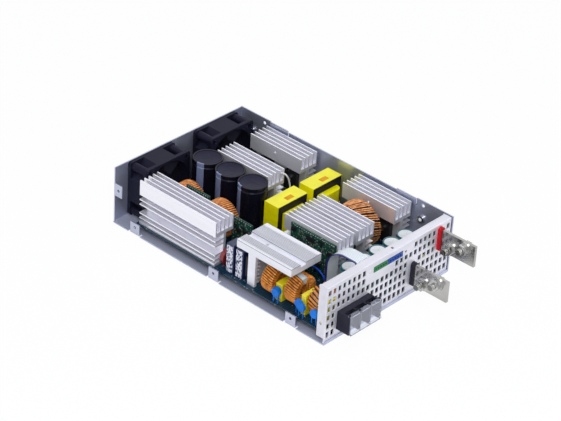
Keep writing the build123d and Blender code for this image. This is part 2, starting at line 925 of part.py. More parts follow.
def lead_places(outer, width, wire, start, sweep):
    """Where the leads stand: across the ring's middle plane, and along its axis, one at each face."""
    near = wire / 2 + 0.1
    far = width - near
    reach = outer * 0.26
    if sweep > 180:
        return [(reach, near), (-reach, far)]
    side = -1 if start > 0 else 1
    return [(-side * reach, near), (-side * reach * 1.3, far)]


def filter_place(index):
    x = filter_x + index * filter_step_x
    y = filter_rear_y - index * filter_pitch - filter_width / 2
    return x, y, board_top + filter_outer


def make_transformer(x):
    """Closed ferrite frame with a centre leg, the taped winding round it, and the outer tape."""
    y0 = transformer_y - core_depth / 2
    x0 = x - core_width / 2
    x1 = x + core_width / 2
    core = block(x0, x1, y0, y0 + core_depth, core_low, core_top)
    window_low = core_low + yoke
    window_high = core_top - yoke
    leg = centre_leg / 2
    core -= block(x0 + outer_leg, x - leg, y0 - 1, y0 + core_depth + 1, window_low, window_high)
    core -= block(x + leg, x1 - outer_leg, y0 - 1, y0 + core_depth + 1, window_low, window_high)
    coil = RectangleRounded(
        core_width - 2 * outer_leg - 2 * winding_gap, core_depth + 2 * winding_bulge, 6.0
    )
    coil -= Rectangle(centre_leg, core_depth)
    coil_low = window_low
    winding = prism("z", x, transformer_y, coil_low, coil, window_high - coil_low)
    # the bobbin's two rails carry the pins and stand on the board
    rail = core_depth / 2 + winding_bulge
    for sign in (-1, 1):
        edge = transformer_y + sign * rail
        inner_edge = transformer_y + sign * (core_depth / 2 + 0.6)
        ya, yb = sorted((edge, inner_edge))
        winding += block(x - 12.0, x + 12.0, ya, yb, board_top, window_low)
    loop = flat(x0 - tape, x1 + tape, core_low - tape, core_top + tape) - flat(x0, x1, core_low, core_top)
    wrap = prism("y", 0, y0 + 0.3, 0, mirror(loop, Plane.YZ), core_depth - 0.6)
    return core, winding, wrap


def make_box_part(x0, x1, y0, y1, height):
    """Moulded case with softened edges, standing on the board."""
    body = block(x0, x1, y0, y1, board_top, board_top + height)
    edges = body.edges().filter_by(lambda e: e.center().Z > board_top + 0.01)
    return chamfer(edges, box_edge)


def make_disc(x, y):
    """Disc capacitor standing on its two leads, its flat sides facing left and right."""
    z = board_top + disc_lift + disc_radius
    body = rod("x", x - disc_thickness / 2, y, z, disc_radius, disc_thickness)
    for dy in (-disc_radius * 0.6, disc_radius * 0.6):
        lead = disc_lead / 2
        body += block(x - lead, x + lead, y + dy - lead, y + dy + lead, board_top, z)
    return body


def make_varistor():
    x = bar_left + 7.0
    y = varistor_y
    z = board_top + 3.0 + varistor_radius
    body = rod("y", x, y, z, varistor_radius, varistor_thickness)
    for dx in (-3.6, 3.6):
        lead = disc_lead / 2
        middle = y + varistor_thickness / 2
        body += block(x + dx - lead, x + dx + lead, middle - lead, middle + lead, board_top, z)
    return body


def upright_board(x, y_rear, length, height):
    return block(x, x + small_board, y_rear - length, y_rear, board_top, board_top + height)


def make_signal_board():
    """Board behind the window: a wide head on two legs that stand on the main board."""
    y0 = signal_y
    y1 = signal_y + small_board
    body = block(signal_left, signal_right, y0, y1, signal_low, signal_top)
    leg_x = block_left + block_width + 3.0
    for x in (leg_x, signal_right - signal_leg - 2.0):
        body += block(x, x + signal_leg, y0, y1, board_top, signal_low)
    return body


def ribbon_sockets():
    """One socket on the main board and one on the rear face of the signal board."""
    x0 = ribbon_left - socket_side
    x1 = ribbon_left + ribbon_width + socket_side
    half = ribbon_thickness / 2 + ribbon_fit
    deep = socket_depth / 2
    upper_deep = socket_upper_depth / 2
    y = ribbon_rise_y
    lower = block(x0, x1, y - deep, y + deep, board_top, board_top + socket_height)
    slot_low = board_top + 2.0
    xa = x0 + socket_side - ribbon_fit
    xb = x1 - socket_side + ribbon_fit
    lower -= block(xa, xb, y - half, y + half, slot_low, slot_low + socket_height)
    board_back = signal_y + small_board
    drop_y = board_back + upper_deep
    high = ribbon_top - ribbon_drop_bend - ribbon_thickness
    upper = block(x0, x1, board_back, drop_y + upper_deep, high - socket_height, high)
    upper -= block(xa, xb, drop_y - half, drop_y + half, high - socket_height + 2.0, high + 1)
    return [lower, upper]


def make_ribbon():
    """Flat cable: up from the main board, over a large bend, forward and down to the signal board."""
    middle = ribbon_top - ribbon_thickness / 2
    end_y = signal_y + small_board + socket_upper_depth / 2
    end_z = ribbon_top - ribbon_drop_bend - ribbon_thickness - socket_height + 2.0
    points = [
        (0, ribbon_rise_y, board_top + 2.0),
        (0, ribbon_rise_y, middle),
        (0, end_y, middle),
        (0, end_y, end_z),
    ]
    path = FilletPolyline(*points, radius=[ribbon_bend, ribbon_drop_bend])
    start = Plane(points[0], x_dir=(1, 0, 0), z_dir=(0, 0, 1))
    strip = sweep(start * Rectangle(ribbon_width, ribbon_thickness), path=path)
    return Pos(ribbon_left + ribbon_width / 2, 0, 0) * strip


def make_connector(x0, width):
    """Signal connector: a moulded housing with a row of square ways, through the panel window."""
    z0 = window_low + window_gap
    z1 = window_low + window_height - window_gap
    body = block(x0, x0 + width, panel_front - connector_proud, signal_y, z0, z1)
    ways = int((width - 1.0) / pin_pitch)
    first = x0 + width / 2 - (ways - 1) * pin_pitch / 2
    for index in range(ways):
        x = first + index * pin_pitch
        half = pin_hole / 2
        middle = (z0 + z1) / 2
        y = panel_front - connector_proud
        body -= block(x - half, x + half, y - 1, y + 5, middle - half, middle + half)
    return body


def bolt_places(low):
    """Centres of the two staggered bolts of a busbar, as y, z."""
    middle = low + bar_height / 2
    y = panel_front - bolt_first
    return [(y, middle - bolt_stagger), (y - bolt_spacing, middle + bolt_stagger)]


def make_busbar(x, low):
    """Plated copper bar on edge, with a foot down to the main board behind the panel."""
    y0 = panel_front - bar_reach
    y1 = panel_back + bar_inside
    foot = y1 - bar_foot
    body = block(x, x + bar_sheet, y0, y1, low, low + bar_height)
    body += block(x, x + bar_sheet, foot, y1, board_top, low + 1.0)
    for y, z in bolt_places(low):
        body -= rod("x", x - 1, y, z, bolt_radius + bolt_fit, bar_sheet + 2)
    return body


def make_sleeve(x, z):
    """Moulded sleeve that insulates a busbar where it leaves the panel."""
    outline = sleeve_outline(0) - Rectangle(bar_sheet + 2 * sleeve_fit, bar_height + 2 * sleeve_fit)
    return prism("y", x, panel_front - sleeve_proud, z, outline, sleeve_proud + panel_sheet + sleeve_inside)


def make_bolts():
    bolts = []
    nuts = []
    for x, low in ((negative_x, negative_low), (positive_x, positive_low)):
        for y, z in bolt_places(low):
            face = x + bar_sheet
            free = x - nut_total - bolt_free_gap - bolt_free
            bolt = prism("x", face, y, z, RegularPolygon(bolt_head, 6), bolt_head_height)
            bolt += rod("x", free, y, z, bolt_core, face - free)
            bolts.append(bolt + rod("x", free, y, z, bolt_radius, bolt_free))
            nut = rod("x", x - nut_flange_height, y, z, nut_flange, nut_flange_height)
            nut += prism("x", x - nut_total, y, z, RegularPolygon(nut_hex, 6), nut_total)
            nuts.append(nut - rod("x", x - nut_total - 1, y, z, bolt_core, nut_total + 2))
    return bolts, nuts


def barrier_places():
    return [block_left + index * (cell_width + barrier) for index in range(cell_count + 1)]


def rod_place():
    """Axis of the cover's rod, just above the front corner of the barriers."""
    return block_front + cover_knuckle - 0.2, block_top + cover_rod - cover_rod_drop


def make_terminal_block():
    """Barrier block: a solid back, walls that part the cells, and open hooks for the cover's rod."""
    back = block_front + cell_depth
    x1 = block_left + block_width
    body = block(block_left, x1, back, panel_back + block_inside, board_top, block_top)
    rod_y, rod_z = rod_place()
    hook = Circle(cover_knuckle) - Circle(cover_rod + cover_fit)
    hook += flat(-cover_knuckle, cover_knuckle, -cover_knuckle - 0.6, 0) - Circle(cover_rod + cover_fit)
    hook -= Rot(0, 0, 50) * flat(0, cover_knuckle + 1, -cover_mouth / 2, cover_mouth / 2)
    for x in barrier_places():
        body += block(x, x + barrier, block_front, back, board_top, block_top)
        body += prism("x", x, rod_y, rod_z, hook, barrier)
        body -= rod("x", x - 1, rod_y, rod_z, cover_rod + cover_fit, barrier + 2)
    return body


def make_terminal_screws():
    """Clamp screws, each with its square plate."""
    screws = []
    back = block_front + cell_depth
    z = (board_top + block_top) / 2
    for x in barrier_places()[:-1]:
        middle = x + barrier + cell_width / 2
        plate = RectangleRounded(clamp_size, clamp_size, 1.0)
        screw = prism("y", middle, back - clamp_thickness, z, plate, clamp_thickness)
        head_y = back - clamp_thickness - clamp_head_height
        screw += rod("y", middle, head_y, z, clamp_head, clamp_head_height)
        screw -= block(middle - 2.6, middle + 2.6, head_y - 1, head_y + 1.0, z - 0.5, z + 0.5)
        screws.append(screw)
    return screws


def make_terminal_cover():
    """Clear cover: a plate with a ridge along its foot, hung from a rod that clips in the hooks."""
    rod_y, rod_z = rod_place()
    x0 = block_left + cover_end
    x1 = block_left + block_width - cover_end
    plate_back = rod_y - cover_knuckle - cover_fit - 0.2
    plate_front = plate_back - cover_plate
    plate_low = board_top + 0.4
    body = block(x0, x1, plate_front, plate_back, plate_low, rod_z + cover_rod)
    ridge = plate_front - cover_ridge
    body += block(x0, x1, ridge, plate_front, plate_low, plate_low + cover_ridge_height)
    body += rod("x", x0, rod_y, rod_z, cover_rod, x1 - x0)
    for x in barrier_places()[:-1]:
        xa = x + barrier + 0.6
        xb = x + barrier + cell_width - 0.6
        body += block(xa, xb, plate_back - 0.1, rod_y, rod_z - cover_rod, rod_z + cover_rod)
    return body


def make_all():
    parts["base_tray"] = make_tray()
    parts["front_panel"] = make_panel()
    parts["press_nuts"] = group(press_nuts())
    parts["board_standoffs"] = group(standoffs())
    parts["m3_screws"] = group(m3_screws())
    for name, x in (("left", fan_left_x), ("right", fan_right_x)):
        parts["fan_frame_" + name] = make_frame(x)
        parts["fan_rotor_" + name] = make_rotor(x)
    parts["fan_screws"] = group(fan_screws())
    parts["main_board"] = make_board()

    packages, screws = make_packages()
    for name, x, y_rear, length, side, count in sink_rows():
        sink = make_sink(x, y_rear, length, side, "right" in name and "centre" not in name)
        for screw in screws:
            sink -= screw
        parts[name] = sink
    parts["power_transistors"] = group(packages)
    parts["heatsink_screws"] = group(screws)
    parts["rectifier_heatsink"] = make_rectifier_sink()
    parts["bridge_rectifier"] = make_bridge()

    for index, name in enumerate(("rear", "middle", "front")):
        y = bulk_rear - bulk_radius - index * (2 * bulk_radius + bulk_gap)
        can = make_can(bulk_x, y, bulk_radius, bulk_height, crimp_drop, crimp_depth, rim_width, rim_depth)
        parts["bulk_capacitor_" + name] = can
    cans = []
    y = front + output_cap_front
    for index in range(output_cap_count):
        x = output_cap_first_x + index * output_cap_pitch
        cans.append(make_can(x, y, output_cap_radius, output_cap_height, 3.2, 0.6, 1.0, 0.4))
    parts["output_capacitors"] = group(cans)

    boost = (boost_outer, boost_inner, boost_width, boost_wire)
    cores = []
    for name, y in (("rear", boost_rear_y), ("front", boost_front_y)):
        place = ("x", boost_x - boost_width / 2, y, board_top + boost_outer)
        arcs = [(-80.0, 340.0)]
        parts["boost_choke_winding_" + name] = group(make_winding(*place, *boost, boost_turns, arcs))
        cores.append(make_core(*place, *boost))
    parts["boost_choke_cores"] = group(cores)
    output = (output_outer, output_inner, output_width, output_wire)
    place = ("x", output_x - output_width / 2, output_y, board_top + output_outer)
    arcs = [(-80.0, 340.0)]
    parts["output_choke_winding"] = group(make_winding(*place, *output, output_turns, arcs))
    parts["output_choke_core"] = make_core(*place, *output)
    cores = []
    for index, name in enumerate(("rear", "middle", "front")):
        wire = coarse_wire if name == "front" else filter_wire
        turns = coarse_turns if name == "front" else filter_turns
        ring = (filter_outer, filter_inner, filter_width, wire)
        place = ("y", *filter_place(index))
        gap = (180.0 - filter_sweep) / 2
        arcs = [(90.0 + gap, filter_sweep), (-90.0 + gap, filter_sweep)]
        parts["filter_choke_winding_" + name] = group(make_winding(*place, *ring, turns, arcs))
        cores.append(make_core(*place, *ring))
    parts["filter_choke_cores"] = group(cores)

    wraps = []
    for name, x in (("left", transformer_left_x), ("right", transformer_right_x)):
        core, winding, wrap = make_transformer(x)
        parts["transformer_core_" + name] = core
        parts["transformer_winding_" + name] = winding
        wraps.append(wrap)
    parts["transformer_tapes"] = group(wraps)

    edge = board_left + 1.2
    parts["x_capacitors"] = group(
        [
            make_box_part(edge + 4.8, edge + 22.0, front + 64.4, front + 72.5, 18.6),
            make_box_part(edge + 4.8, edge + 21.0, front + 35.0, front + 40.6, 21.6),
            make_box_part(edge, edge + 20.0, front + 10.4, front + 15.6, 26.0),
        ]
    )
    films = []
    for y in (film_front, film_front + film_pitch):
        films.append(make_box_part(film_left, film_left + film_width, y, y + film_depth, film_height))
    parts["film_capacitors"] = group(films)
    near = board_left + 0.1 + disc_thickness / 2
    far = near + disc_thickness + 0.1
    discs = [(near, 67.6), (far, 68.6), (far, 41.4), (near, 35.8), (near + 0.8, 20.4)]
    parts["y_capacitors"] = group([make_disc(x, front + y) for x, y in discs])
    parts["varistor"] = make_varistor()

    parts["control_board"] = upright_board(control_x, control_rear, control_length, control_height)
    parts["sense_board"] = upright_board(sense_x, sense_rear, sense_length, sense_height)
    parts["gate_board"] = upright_board(gate_x, gate_rear, gate_length, gate_height)
    parts["signal_board"] = make_signal_board()
    parts["ribbon_cable"] = make_ribbon()
    parts["ribbon_sockets"] = group(ribbon_sockets())
    parts["signal_connector_green"] = make_connector(green_left, green_width)
    blue_left = green_left + green_width + connector_gap
    parts["signal_connector_blue"] = make_connector(blue_left, blue_width)

    parts["busbar_negative"] = make_busbar(negative_x, negative_low)
    parts["busbar_positive"] = make_busbar(positive_x, positive_low)
    for name, (x, z) in zip(("black", "red"), busbar_centres()):
        parts["busbar_sleeve_" + name] = make_sleeve(x, z)
    bolts, nuts = make_bolts()
    parts["busbar_bolts"] = group(bolts)
    parts["busbar_nuts"] = group(nuts)

    parts["terminal_block"] = make_terminal_block()
    parts["terminal_screws"] = group(make_terminal_screws())
    parts["terminal_cover"] = make_terminal_cover()


make_all()
for name, shape in parts.items():
    export_step(shape, f"parts/{name}.step")
print(len(parts), "nodes written")
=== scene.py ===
import bpy
import bmesh
from math import cos, pi, radians, sin, tau
from random import Random
from mathutils import Matrix, Vector


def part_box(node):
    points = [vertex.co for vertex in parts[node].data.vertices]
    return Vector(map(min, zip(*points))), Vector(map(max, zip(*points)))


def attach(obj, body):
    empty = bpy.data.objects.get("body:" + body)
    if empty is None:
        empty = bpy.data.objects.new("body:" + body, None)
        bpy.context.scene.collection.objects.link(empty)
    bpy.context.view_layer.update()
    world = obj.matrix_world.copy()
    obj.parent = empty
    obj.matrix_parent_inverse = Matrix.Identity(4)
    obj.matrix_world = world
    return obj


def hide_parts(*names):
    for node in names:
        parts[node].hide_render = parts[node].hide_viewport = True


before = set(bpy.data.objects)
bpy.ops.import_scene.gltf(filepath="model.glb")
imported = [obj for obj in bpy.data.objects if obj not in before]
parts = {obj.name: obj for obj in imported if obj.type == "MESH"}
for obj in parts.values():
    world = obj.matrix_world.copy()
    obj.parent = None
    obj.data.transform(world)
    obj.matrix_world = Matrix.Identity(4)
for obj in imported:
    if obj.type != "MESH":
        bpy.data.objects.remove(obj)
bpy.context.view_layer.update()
mm = 0.001
tiny = 1e-6  # points nearer than this are one
sunk = 0.1 * mm  # depth of a mark or small part in the face under it
print("frame loaded,", len(parts), "nodes")

cameraView = {"azimuth": -48.794, "elevation": 32.624, "roll": 3.586, "distance": 2.186955,
              "across": 0.001565, "above": 0.034742, "focal": 2262.463, "imageWidth": 561,
              "sensor": 36, "clipEnd": 50}


def placeCamera(view):
    azimuth, elevation, roll = (radians(view[angle]) for angle in ("azimuth", "elevation", "roll"))
    back = Vector((sin(azimuth) * cos(elevation), -cos(azimuth) * cos(elevation), sin(elevation)))
    right = Vector((cos(azimuth), sin(azimuth), 0))
    up = back.cross(right)
    tiltedRight = right * cos(roll) + up * sin(roll)
    tiltedUp = up * cos(roll) - right * sin(roll)
    place = back * view["distance"] + tiltedRight * view["across"] + tiltedUp * view["above"]
    data = bpy.data.cameras.new("photoCamera")
    data.sensor_width = view["sensor"]
    data.lens = view["focal"] / view["imageWidth"] * view["sensor"]
    data.clip_end = view["clipEnd"]
    camera = bpy.data.objects.new("photoCamera", data)
    turn = Matrix((tiltedRight, tiltedUp, back)).transposed().to_4x4()
    camera.matrix_world = Matrix.Translation(place) @ turn
    bpy.context.scene.collection.objects.link(camera)
    bpy.context.scene.camera = camera


placeCamera(cameraView)

softBoxes = [
    {"name": "keyBox", "place": (-0.95, -0.7, 1.15), "size": 0.8, "power": 10.5,
     "colour": (1.0, 0.985, 0.98), "mirrored": True},
    {"name": "topBox", "place": (0.25, 0.35, 1.5), "size": 0.9, "power": 5.0,
     "colour": (0.95, 0.96, 1.0), "mirrored": False},  # fin tops mirror the white world already
    {"name": "frontBox", "place": (0.35, -1.4, 0.6), "size": 0.8, "power": 4.0,
     "colour": (0.96, 0.97, 1.0), "mirrored": True},
]
lampAim = Vector((0, 0, 0.03))

for box in softBoxes:
    lampData = bpy.data.lights.new(box["name"], "AREA")
    lampData.shape = "DISK"
    lampData.size = box["size"]
    lampData.energy = box["power"]
    lampData.color = box["colour"]
    lamp = bpy.data.objects.new(box["name"], lampData)
    lamp.location = box["place"]
    lamp.visible_glossy = box["mirrored"]
    lamp.rotation_euler = (lampAim - Vector(box["place"])).to_track_quat("-Z", "Y").to_euler()
    bpy.context.scene.collection.objects.link(lamp)


def calculated(tree, operation, first, second):  # result of a math node; second is a link or a number
    step = tree.nodes.new("ShaderNodeMath")
    step.operation = operation
    tree.links.new(first, step.inputs[0])
    if isinstance(second, float):
        step.inputs[1].default_value = second
    else:
        tree.links.new(second, step.inputs[1])
    return step.outputs[0]


def seenDirectly(tree):  # 1 for camera, glossy and transmission rays
    path = tree.nodes.new("ShaderNodeLightPath")
    total = path.outputs["Is Camera Ray"]
    for ray in ("Is Glossy Ray", "Is Transmission Ray"):
        total = calculated(tree, "MAXIMUM", total, path.outputs[ray])
    return total


def mixShaders(tree, share, first, second, output):
    mix = tree.nodes.new("ShaderNodeMixShader")
    for source, socket in zip((share, first, second), mix.inputs):
        tree.links.new(source, socket)
    tree.links.new(mix.outputs[0], tree.nodes[output].inputs["Surface"])


studio = {"seenColour": (1, 1, 1), "seenStrength": 1.0, "fillColour": (0.88, 0.91, 1.0), "fillStrength": 0.5}


def setWorld():  # white where it is seen, dimmer where it only lights
    world = bpy.data.worlds.new("studio")
    bpy.context.scene.world = world
    world.use_nodes = True
    tree = world.node_tree
    seen = tree.nodes["Background"]
    seen.inputs["Color"].default_value = (*studio["seenColour"], 1)
    seen.inputs["Strength"].default_value = studio["seenStrength"]
    fill = tree.nodes.new("ShaderNodeBackground")
    fill.inputs["Color"].default_value = (*studio["fillColour"], 1)
    fill.inputs["Strength"].default_value = studio["fillStrength"]
    mixShaders(tree, seenDirectly(tree), fill.outputs[0], seen.outputs[0], "World Output")
    bpy.context.scene.view_settings.view_transform = "Standard"


setWorld()
print("camera, lamps and world placed")


def shaderOf(material):
    return material.node_tree.nodes["Principled BSDF"]


def newFinish(name, colour, rough, metal=0.0, coat=0.0, gloss=0.5):
    material = bpy.data.materials.new(name)
    material.use_nodes = True
    shader = shaderOf(material)
    shader.inputs["Base Color"].default_value = (*colour, 1)
    shader.inputs["Roughness"].default_value = rough
    shader.inputs["Metallic"].default_value = metal
    shader.inputs["Coat Weight"].default_value = coat
    shader.inputs["Coat Roughness"].default_value = 0.12
    shader.inputs["Specular IOR Level"].default_value = gloss
    return material


def mapped(material, stretch=(1, 1, 1)):  # object coordinates, stretched
    tree = material.node_tree
    place = tree.nodes.new("ShaderNodeTexCoord")
    mapping = tree.nodes.new("ShaderNodeMapping")
    mapping.inputs["Scale"].default_value = stretch
    tree.links.new(place.outputs["Object"], mapping.inputs["Vector"])
    return mapping.outputs["Vector"]


def noise(material, scale, stretch=(1, 1, 1), detail=3.0):
    tree = material.node_tree
    texture = tree.nodes.new("ShaderNodeTexNoise")
    texture.inputs["Scale"].default_value = scale
    texture.inputs["Detail"].default_value = detail
    tree.links.new(mapped(material, stretch), texture.inputs["Vector"])
    return texture.outputs["Fac"]


waveLength = 0.314  # of a wave texture at scale 1


def bands(material, axis, pitch):
    tree = material.node_tree
    wave = tree.nodes.new("ShaderNodeTexWave")
    wave.wave_type = "BANDS"
    wave.bands_direction = axis
    wave.inputs["Scale"].default_value = waveLength / pitch
    tree.links.new(mapped(material), wave.inputs["Vector"])
    return wave.outputs["Fac"]


def ranged(material, value, low, high, start=0.0, end=1.0):  # value from start to end gives low to high
    tree = material.node_tree
    spread = tree.nodes.new("ShaderNodeMapRange")
    spread.inputs["From Min"].default_value = start
    spread.inputs["From Max"].default_value = end
    spread.inputs["To Min"].default_value = low
    spread.inputs["To Max"].default_value = high
    tree.links.new(value, spread.inputs["Value"])
    return spread.outputs["Result"]


def along(material, axis, start, end, low=0.0, high=1.0):  # one object coordinate from start to end
    tree = material.node_tree
    split = tree.nodes.new("ShaderNodeSeparateXYZ")
    tree.links.new(mapped(material), split.inputs[0])
    return ranged(material, split.outputs[axis], low, high, start, end)


def tones(material, value, stops, target="Base Color"):  # value through a colour ramp
    tree = material.node_tree
    ramp = tree.nodes.new("ShaderNodeValToRGB")
    ramp.color_ramp.elements[0].position = stops[0][0]
    ramp.color_ramp.elements[0].color = (*stops[0][1], 1)
    ramp.color_ramp.elements[1].position = stops[-1][0]
    ramp.color_ramp.elements[1].color = (*stops[-1][1], 1)
    for position, colour in stops[1:-1]:
        ramp.color_ramp.elements.new(position).color = (*colour, 1)
    tree.links.new(value, ramp.inputs["Fac"])
    if target:
        tree.links.new(ramp.outputs["Color"], shaderOf(material).inputs[target])
    return ramp.outputs["Color"]


def multiplied(material, first, second):  # product of two colours as the base colour
    tree = material.node_tree
    mix = tree.nodes.new("ShaderNodeMix")
    mix.data_type = "RGBA"
    mix.blend_type = "MULTIPLY"
    mix.inputs["Factor"].default_value = 1.0
    tree.links.new(first, mix.inputs["A"])
    tree.links.new(second, mix.inputs["B"])
    tree.links.new(mix.outputs["Result"], shaderOf(material).inputs["Base Color"])


def roughRange(material, value, low, high):
    spread = ranged(material, value, low, high)
    material.node_tree.links.new(spread, shaderOf(material).inputs["Roughness"])


def relief(material, value, strength, depth=0.2 * mm):
    tree = material.node_tree
    bump = tree.nodes.new("ShaderNodeBump")
    bump.inputs["Strength"].default_value = strength
    bump.inputs["Distance"].default_value = depth
    tree.links.new(value, bump.inputs["Height"])
    tree.links.new(bump.outputs["Normal"], shaderOf(material).inputs["Normal"])


def shade(colour, factor):
    return tuple(min(1.0, channel * factor) for channel in colour)


def plated(name, colour, rough, stretch=(1, 1, 1), scale=60.0, metal=1.0, spread=0.1, bump=0.08):
    # sheet or plated metal with faint streaks; spread is how far its tone strays
    material = newFinish(name, colour, rough, metal=metal)
    deep, pale = shade(colour, 1 - spread), shade(colour, 1 + spread * 0.6)
    tones(material, noise(material, scale, stretch), [(0.3, deep), (0.7, pale)])
    roughRange(material, noise(material, scale * 4, stretch), low=rough * 0.8, high=rough * 1.25)
    relief(material, noise(material, scale * 20, stretch), strength=bump)
    return material


def moulded(name, colour, rough, grain=900.0, coat=0.0, gloss=0.5):  # plastic with a fine eroded grain
    material = newFinish(name, colour, rough, coat=coat, gloss=gloss)
    deep, pale = shade(colour, 0.85), shade(colour, 1.15)
    tones(material, noise(material, 90.0), [(0.3, deep), (0.75, pale)])
    relief(material, noise(material, grain), strength=0.18, depth=0.1 * mm)
    return material


def enamel(name, bright, deep, scale=260.0):  # lacquered copper wire
    material = newFinish(name, bright, rough=0.30, metal=0.35, coat=0.2, gloss=0.35)
    tones(material, noise(material, scale), [(0.3, deep), (0.62, bright)])
    roughRange(material, noise(material, scale * 2), low=0.22, high=0.40)
    return material


maskPattern = {"trackLength": 11.0 * mm, "trackPitch": 2.3 * mm, "trackWidth": 0.35 * mm,
               "twist": (0.6, 0.5, 0.0), "padScale": 210.0, "padJitter": 0.9, "padReach": 0.17}


def boardMask(name, mask, trace, pad, scale=1.0):  # solder mask over copper tracks, with tinned pads
    material = newFinish(name, mask, rough=0.32, coat=0.1, gloss=0.25)
    tree = material.node_tree
    tracks = tree.nodes.new("ShaderNodeTexBrick")
    tracks.inputs["Scale"].default_value = 1.0
    tracks.inputs["Brick Width"].default_value = maskPattern["trackLength"] * scale
    tracks.inputs["Row Height"].default_value = maskPattern["trackPitch"] * scale
    tracks.inputs["Mortar Size"].default_value = maskPattern["trackWidth"] * scale
    tracks.inputs["Color1"].default_value = (*mask, 1)
    tracks.inputs["Color2"].default_value = (*shade(mask, 0.8), 1)
    tracks.inputs["Mortar"].default_value = (*trace, 1)
    twist = tree.nodes.new("ShaderNodeVectorRotate")  # tilted, so that upright boards show tracks too
    twist.rotation_type = "EULER_XYZ"
    twist.inputs["Rotation"].default_value = maskPattern["twist"]
    tree.links.new(mapped(material), twist.inputs["Vector"])
    tree.links.new(twist.outputs[0], tracks.inputs["Vector"])
    pads = tree.nodes.new("ShaderNodeTexVoronoi")
    pads.inputs["Scale"].default_value = maskPattern["padScale"] / scale
    pads.inputs["Randomness"].default_value = maskPattern["padJitter"]
    tree.links.new(mapped(material), pads.inputs["Vector"])
    spot = calculated(tree, "LESS_THAN", pads.outputs["Distance"], maskPattern["padReach"])
    mix = tree.nodes.new("ShaderNodeMix")
    mix.data_type = "RGBA"
    mix.inputs["B"].default_value = (*pad, 1)
    tree.links.new(spot, mix.inputs["Factor"])
    tree.links.new(tracks.outputs["Color"], mix.inputs["A"])
    tree.links.new(mix.outputs["Result"], shaderOf(material).inputs["Base Color"])
    relief(material, noise(material, 500.0), strength=0.1, depth=0.1 * mm)
    return material


def clearPlastic(name, colour):
    material = newFinish(name, colour, rough=0.07)
    shaderOf(material).inputs["Transmission Weight"].default_value = 0.88
    shaderOf(material).inputs["IOR"].default_value = 1.45
    roughRange(material, noise(material, 60.0, detail=1.0), low=0.05, high=0.10)
    return material


def threaded(name, colour, grooveShadeColour, axis, pitch):  # rolled thread across one axis, with painted shade in the troughs of the thread
    material = newFinish(name, colour, rough=0.26, metal=1.0)
    wave = bands(material, axis, pitch)
    tones(material, wave, [(0.0, grooveShadeColour), (0.6, colour)])
    relief(material, wave, strength=0.6, depth=pitch * 0.35)
    return material


def taped(name, colour):  # glossy tape with soft creases; its tone follows them, painted shade in the hollows and painted light on the ridges
    material = newFinish(name, colour, rough=0.30, coat=0.35)
    creaseAndShade = noise(material, 70.0, stretch=(1, 1, 3))
    tones(material, creaseAndShade, [(0.3, shade(colour, 0.88)), (0.7, shade(colour, 1.05))])
    relief(material, creaseAndShade, strength=0.25, depth=0.4 * mm)
    return material


def trayFinish():  # coated sheet whose floor is duller than its walls
    wallMetal, floorMetal = 0.78, 0.30
    material = plated("traySheet", (0.53, 0.56, 0.70), 0.34, stretch=(1, 0.25, 1), scale=45.0,
                      metal=wallMetal)
    sheen = along(material, "Z", 1.5 * mm, 3.5 * mm, low=floorMetal, high=wallMetal)
    material.node_tree.links.new(sheen, shaderOf(material).inputs["Metallic"])
    return material


def groovedFinish():  # pale extrusion, with painted shade on the floors of its fine grooves
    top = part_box("rectifier_heatsink")[1].z
    pale, grooveFloorShade = (0.90, 0.91, 0.97), (0.40, 0.41, 0.47)
    material = newFinish("whiteAluminium", pale, rough=0.48, metal=0.4)
    height = along(material, "Z", top - 4.0 * mm, top)
    # the dim band just under the top is painted shade on the groove floors
    grooveShadeStops = [(0.0, pale), (0.70, pale), (0.73, grooveFloorShade), (0.86, grooveFloorShade), (0.95, pale), (1.0, pale)]
    drawn = (1, 0.08, 1)
    streak = noise(material, 160.0, drawn)
    streakStops = [(0.3, (0.9, 0.9, 0.9)), (0.7, (1, 1, 1))]
    depth = tones(material, height, grooveShadeStops, None)
    multiplied(material, depth, tones(material, streak, streakStops, None))
    roughRange(material, noise(material, 640.0, drawn), low=0.40, high=0.58)
    return material


def ribbonFinish():  # pale strip, dark first core, and painted shade as fine lines in the grooves between the cores
    low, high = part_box("ribbon_cable")
    pale, dark, ribbonGrooveShade, bare = (0.93, 0.99, 1.0), (0.02, 0.025, 0.20), (0.40, 0.45, 0.60), (1, 1, 1)
    material = newFinish("ribbonPale", pale, rough=0.34, coat=0.2)
    across = along(material, "X", low.x, high.x)
    firstCore = tones(material, across, [(0.0, dark), (0.08, dark), (0.1, pale), (1.0, pale)], None)
    wave = bands(material, "X", 1.66 * mm)
    multiplied(material, firstCore, tones(material, wave, [(0.0, ribbonGrooveShade), (0.22, bare), (1.0, bare)], None))
    relief(material, wave, strength=0.6, depth=0.5 * mm)
    return material


def fieldFinish():  # pale panel with an unreadable dark speckle
    pale, ink = (0.74, 0.76, 0.84), (0.03, 0.035, 0.12)
    material = newFinish("paleField", pale, rough=0.40)
    speckle = noise(material, 820.0, stretch=(1, 1, 0.6), detail=1.0)
    tones(material, speckle, [(0.44, ink), (0.50, pale)])
    return material


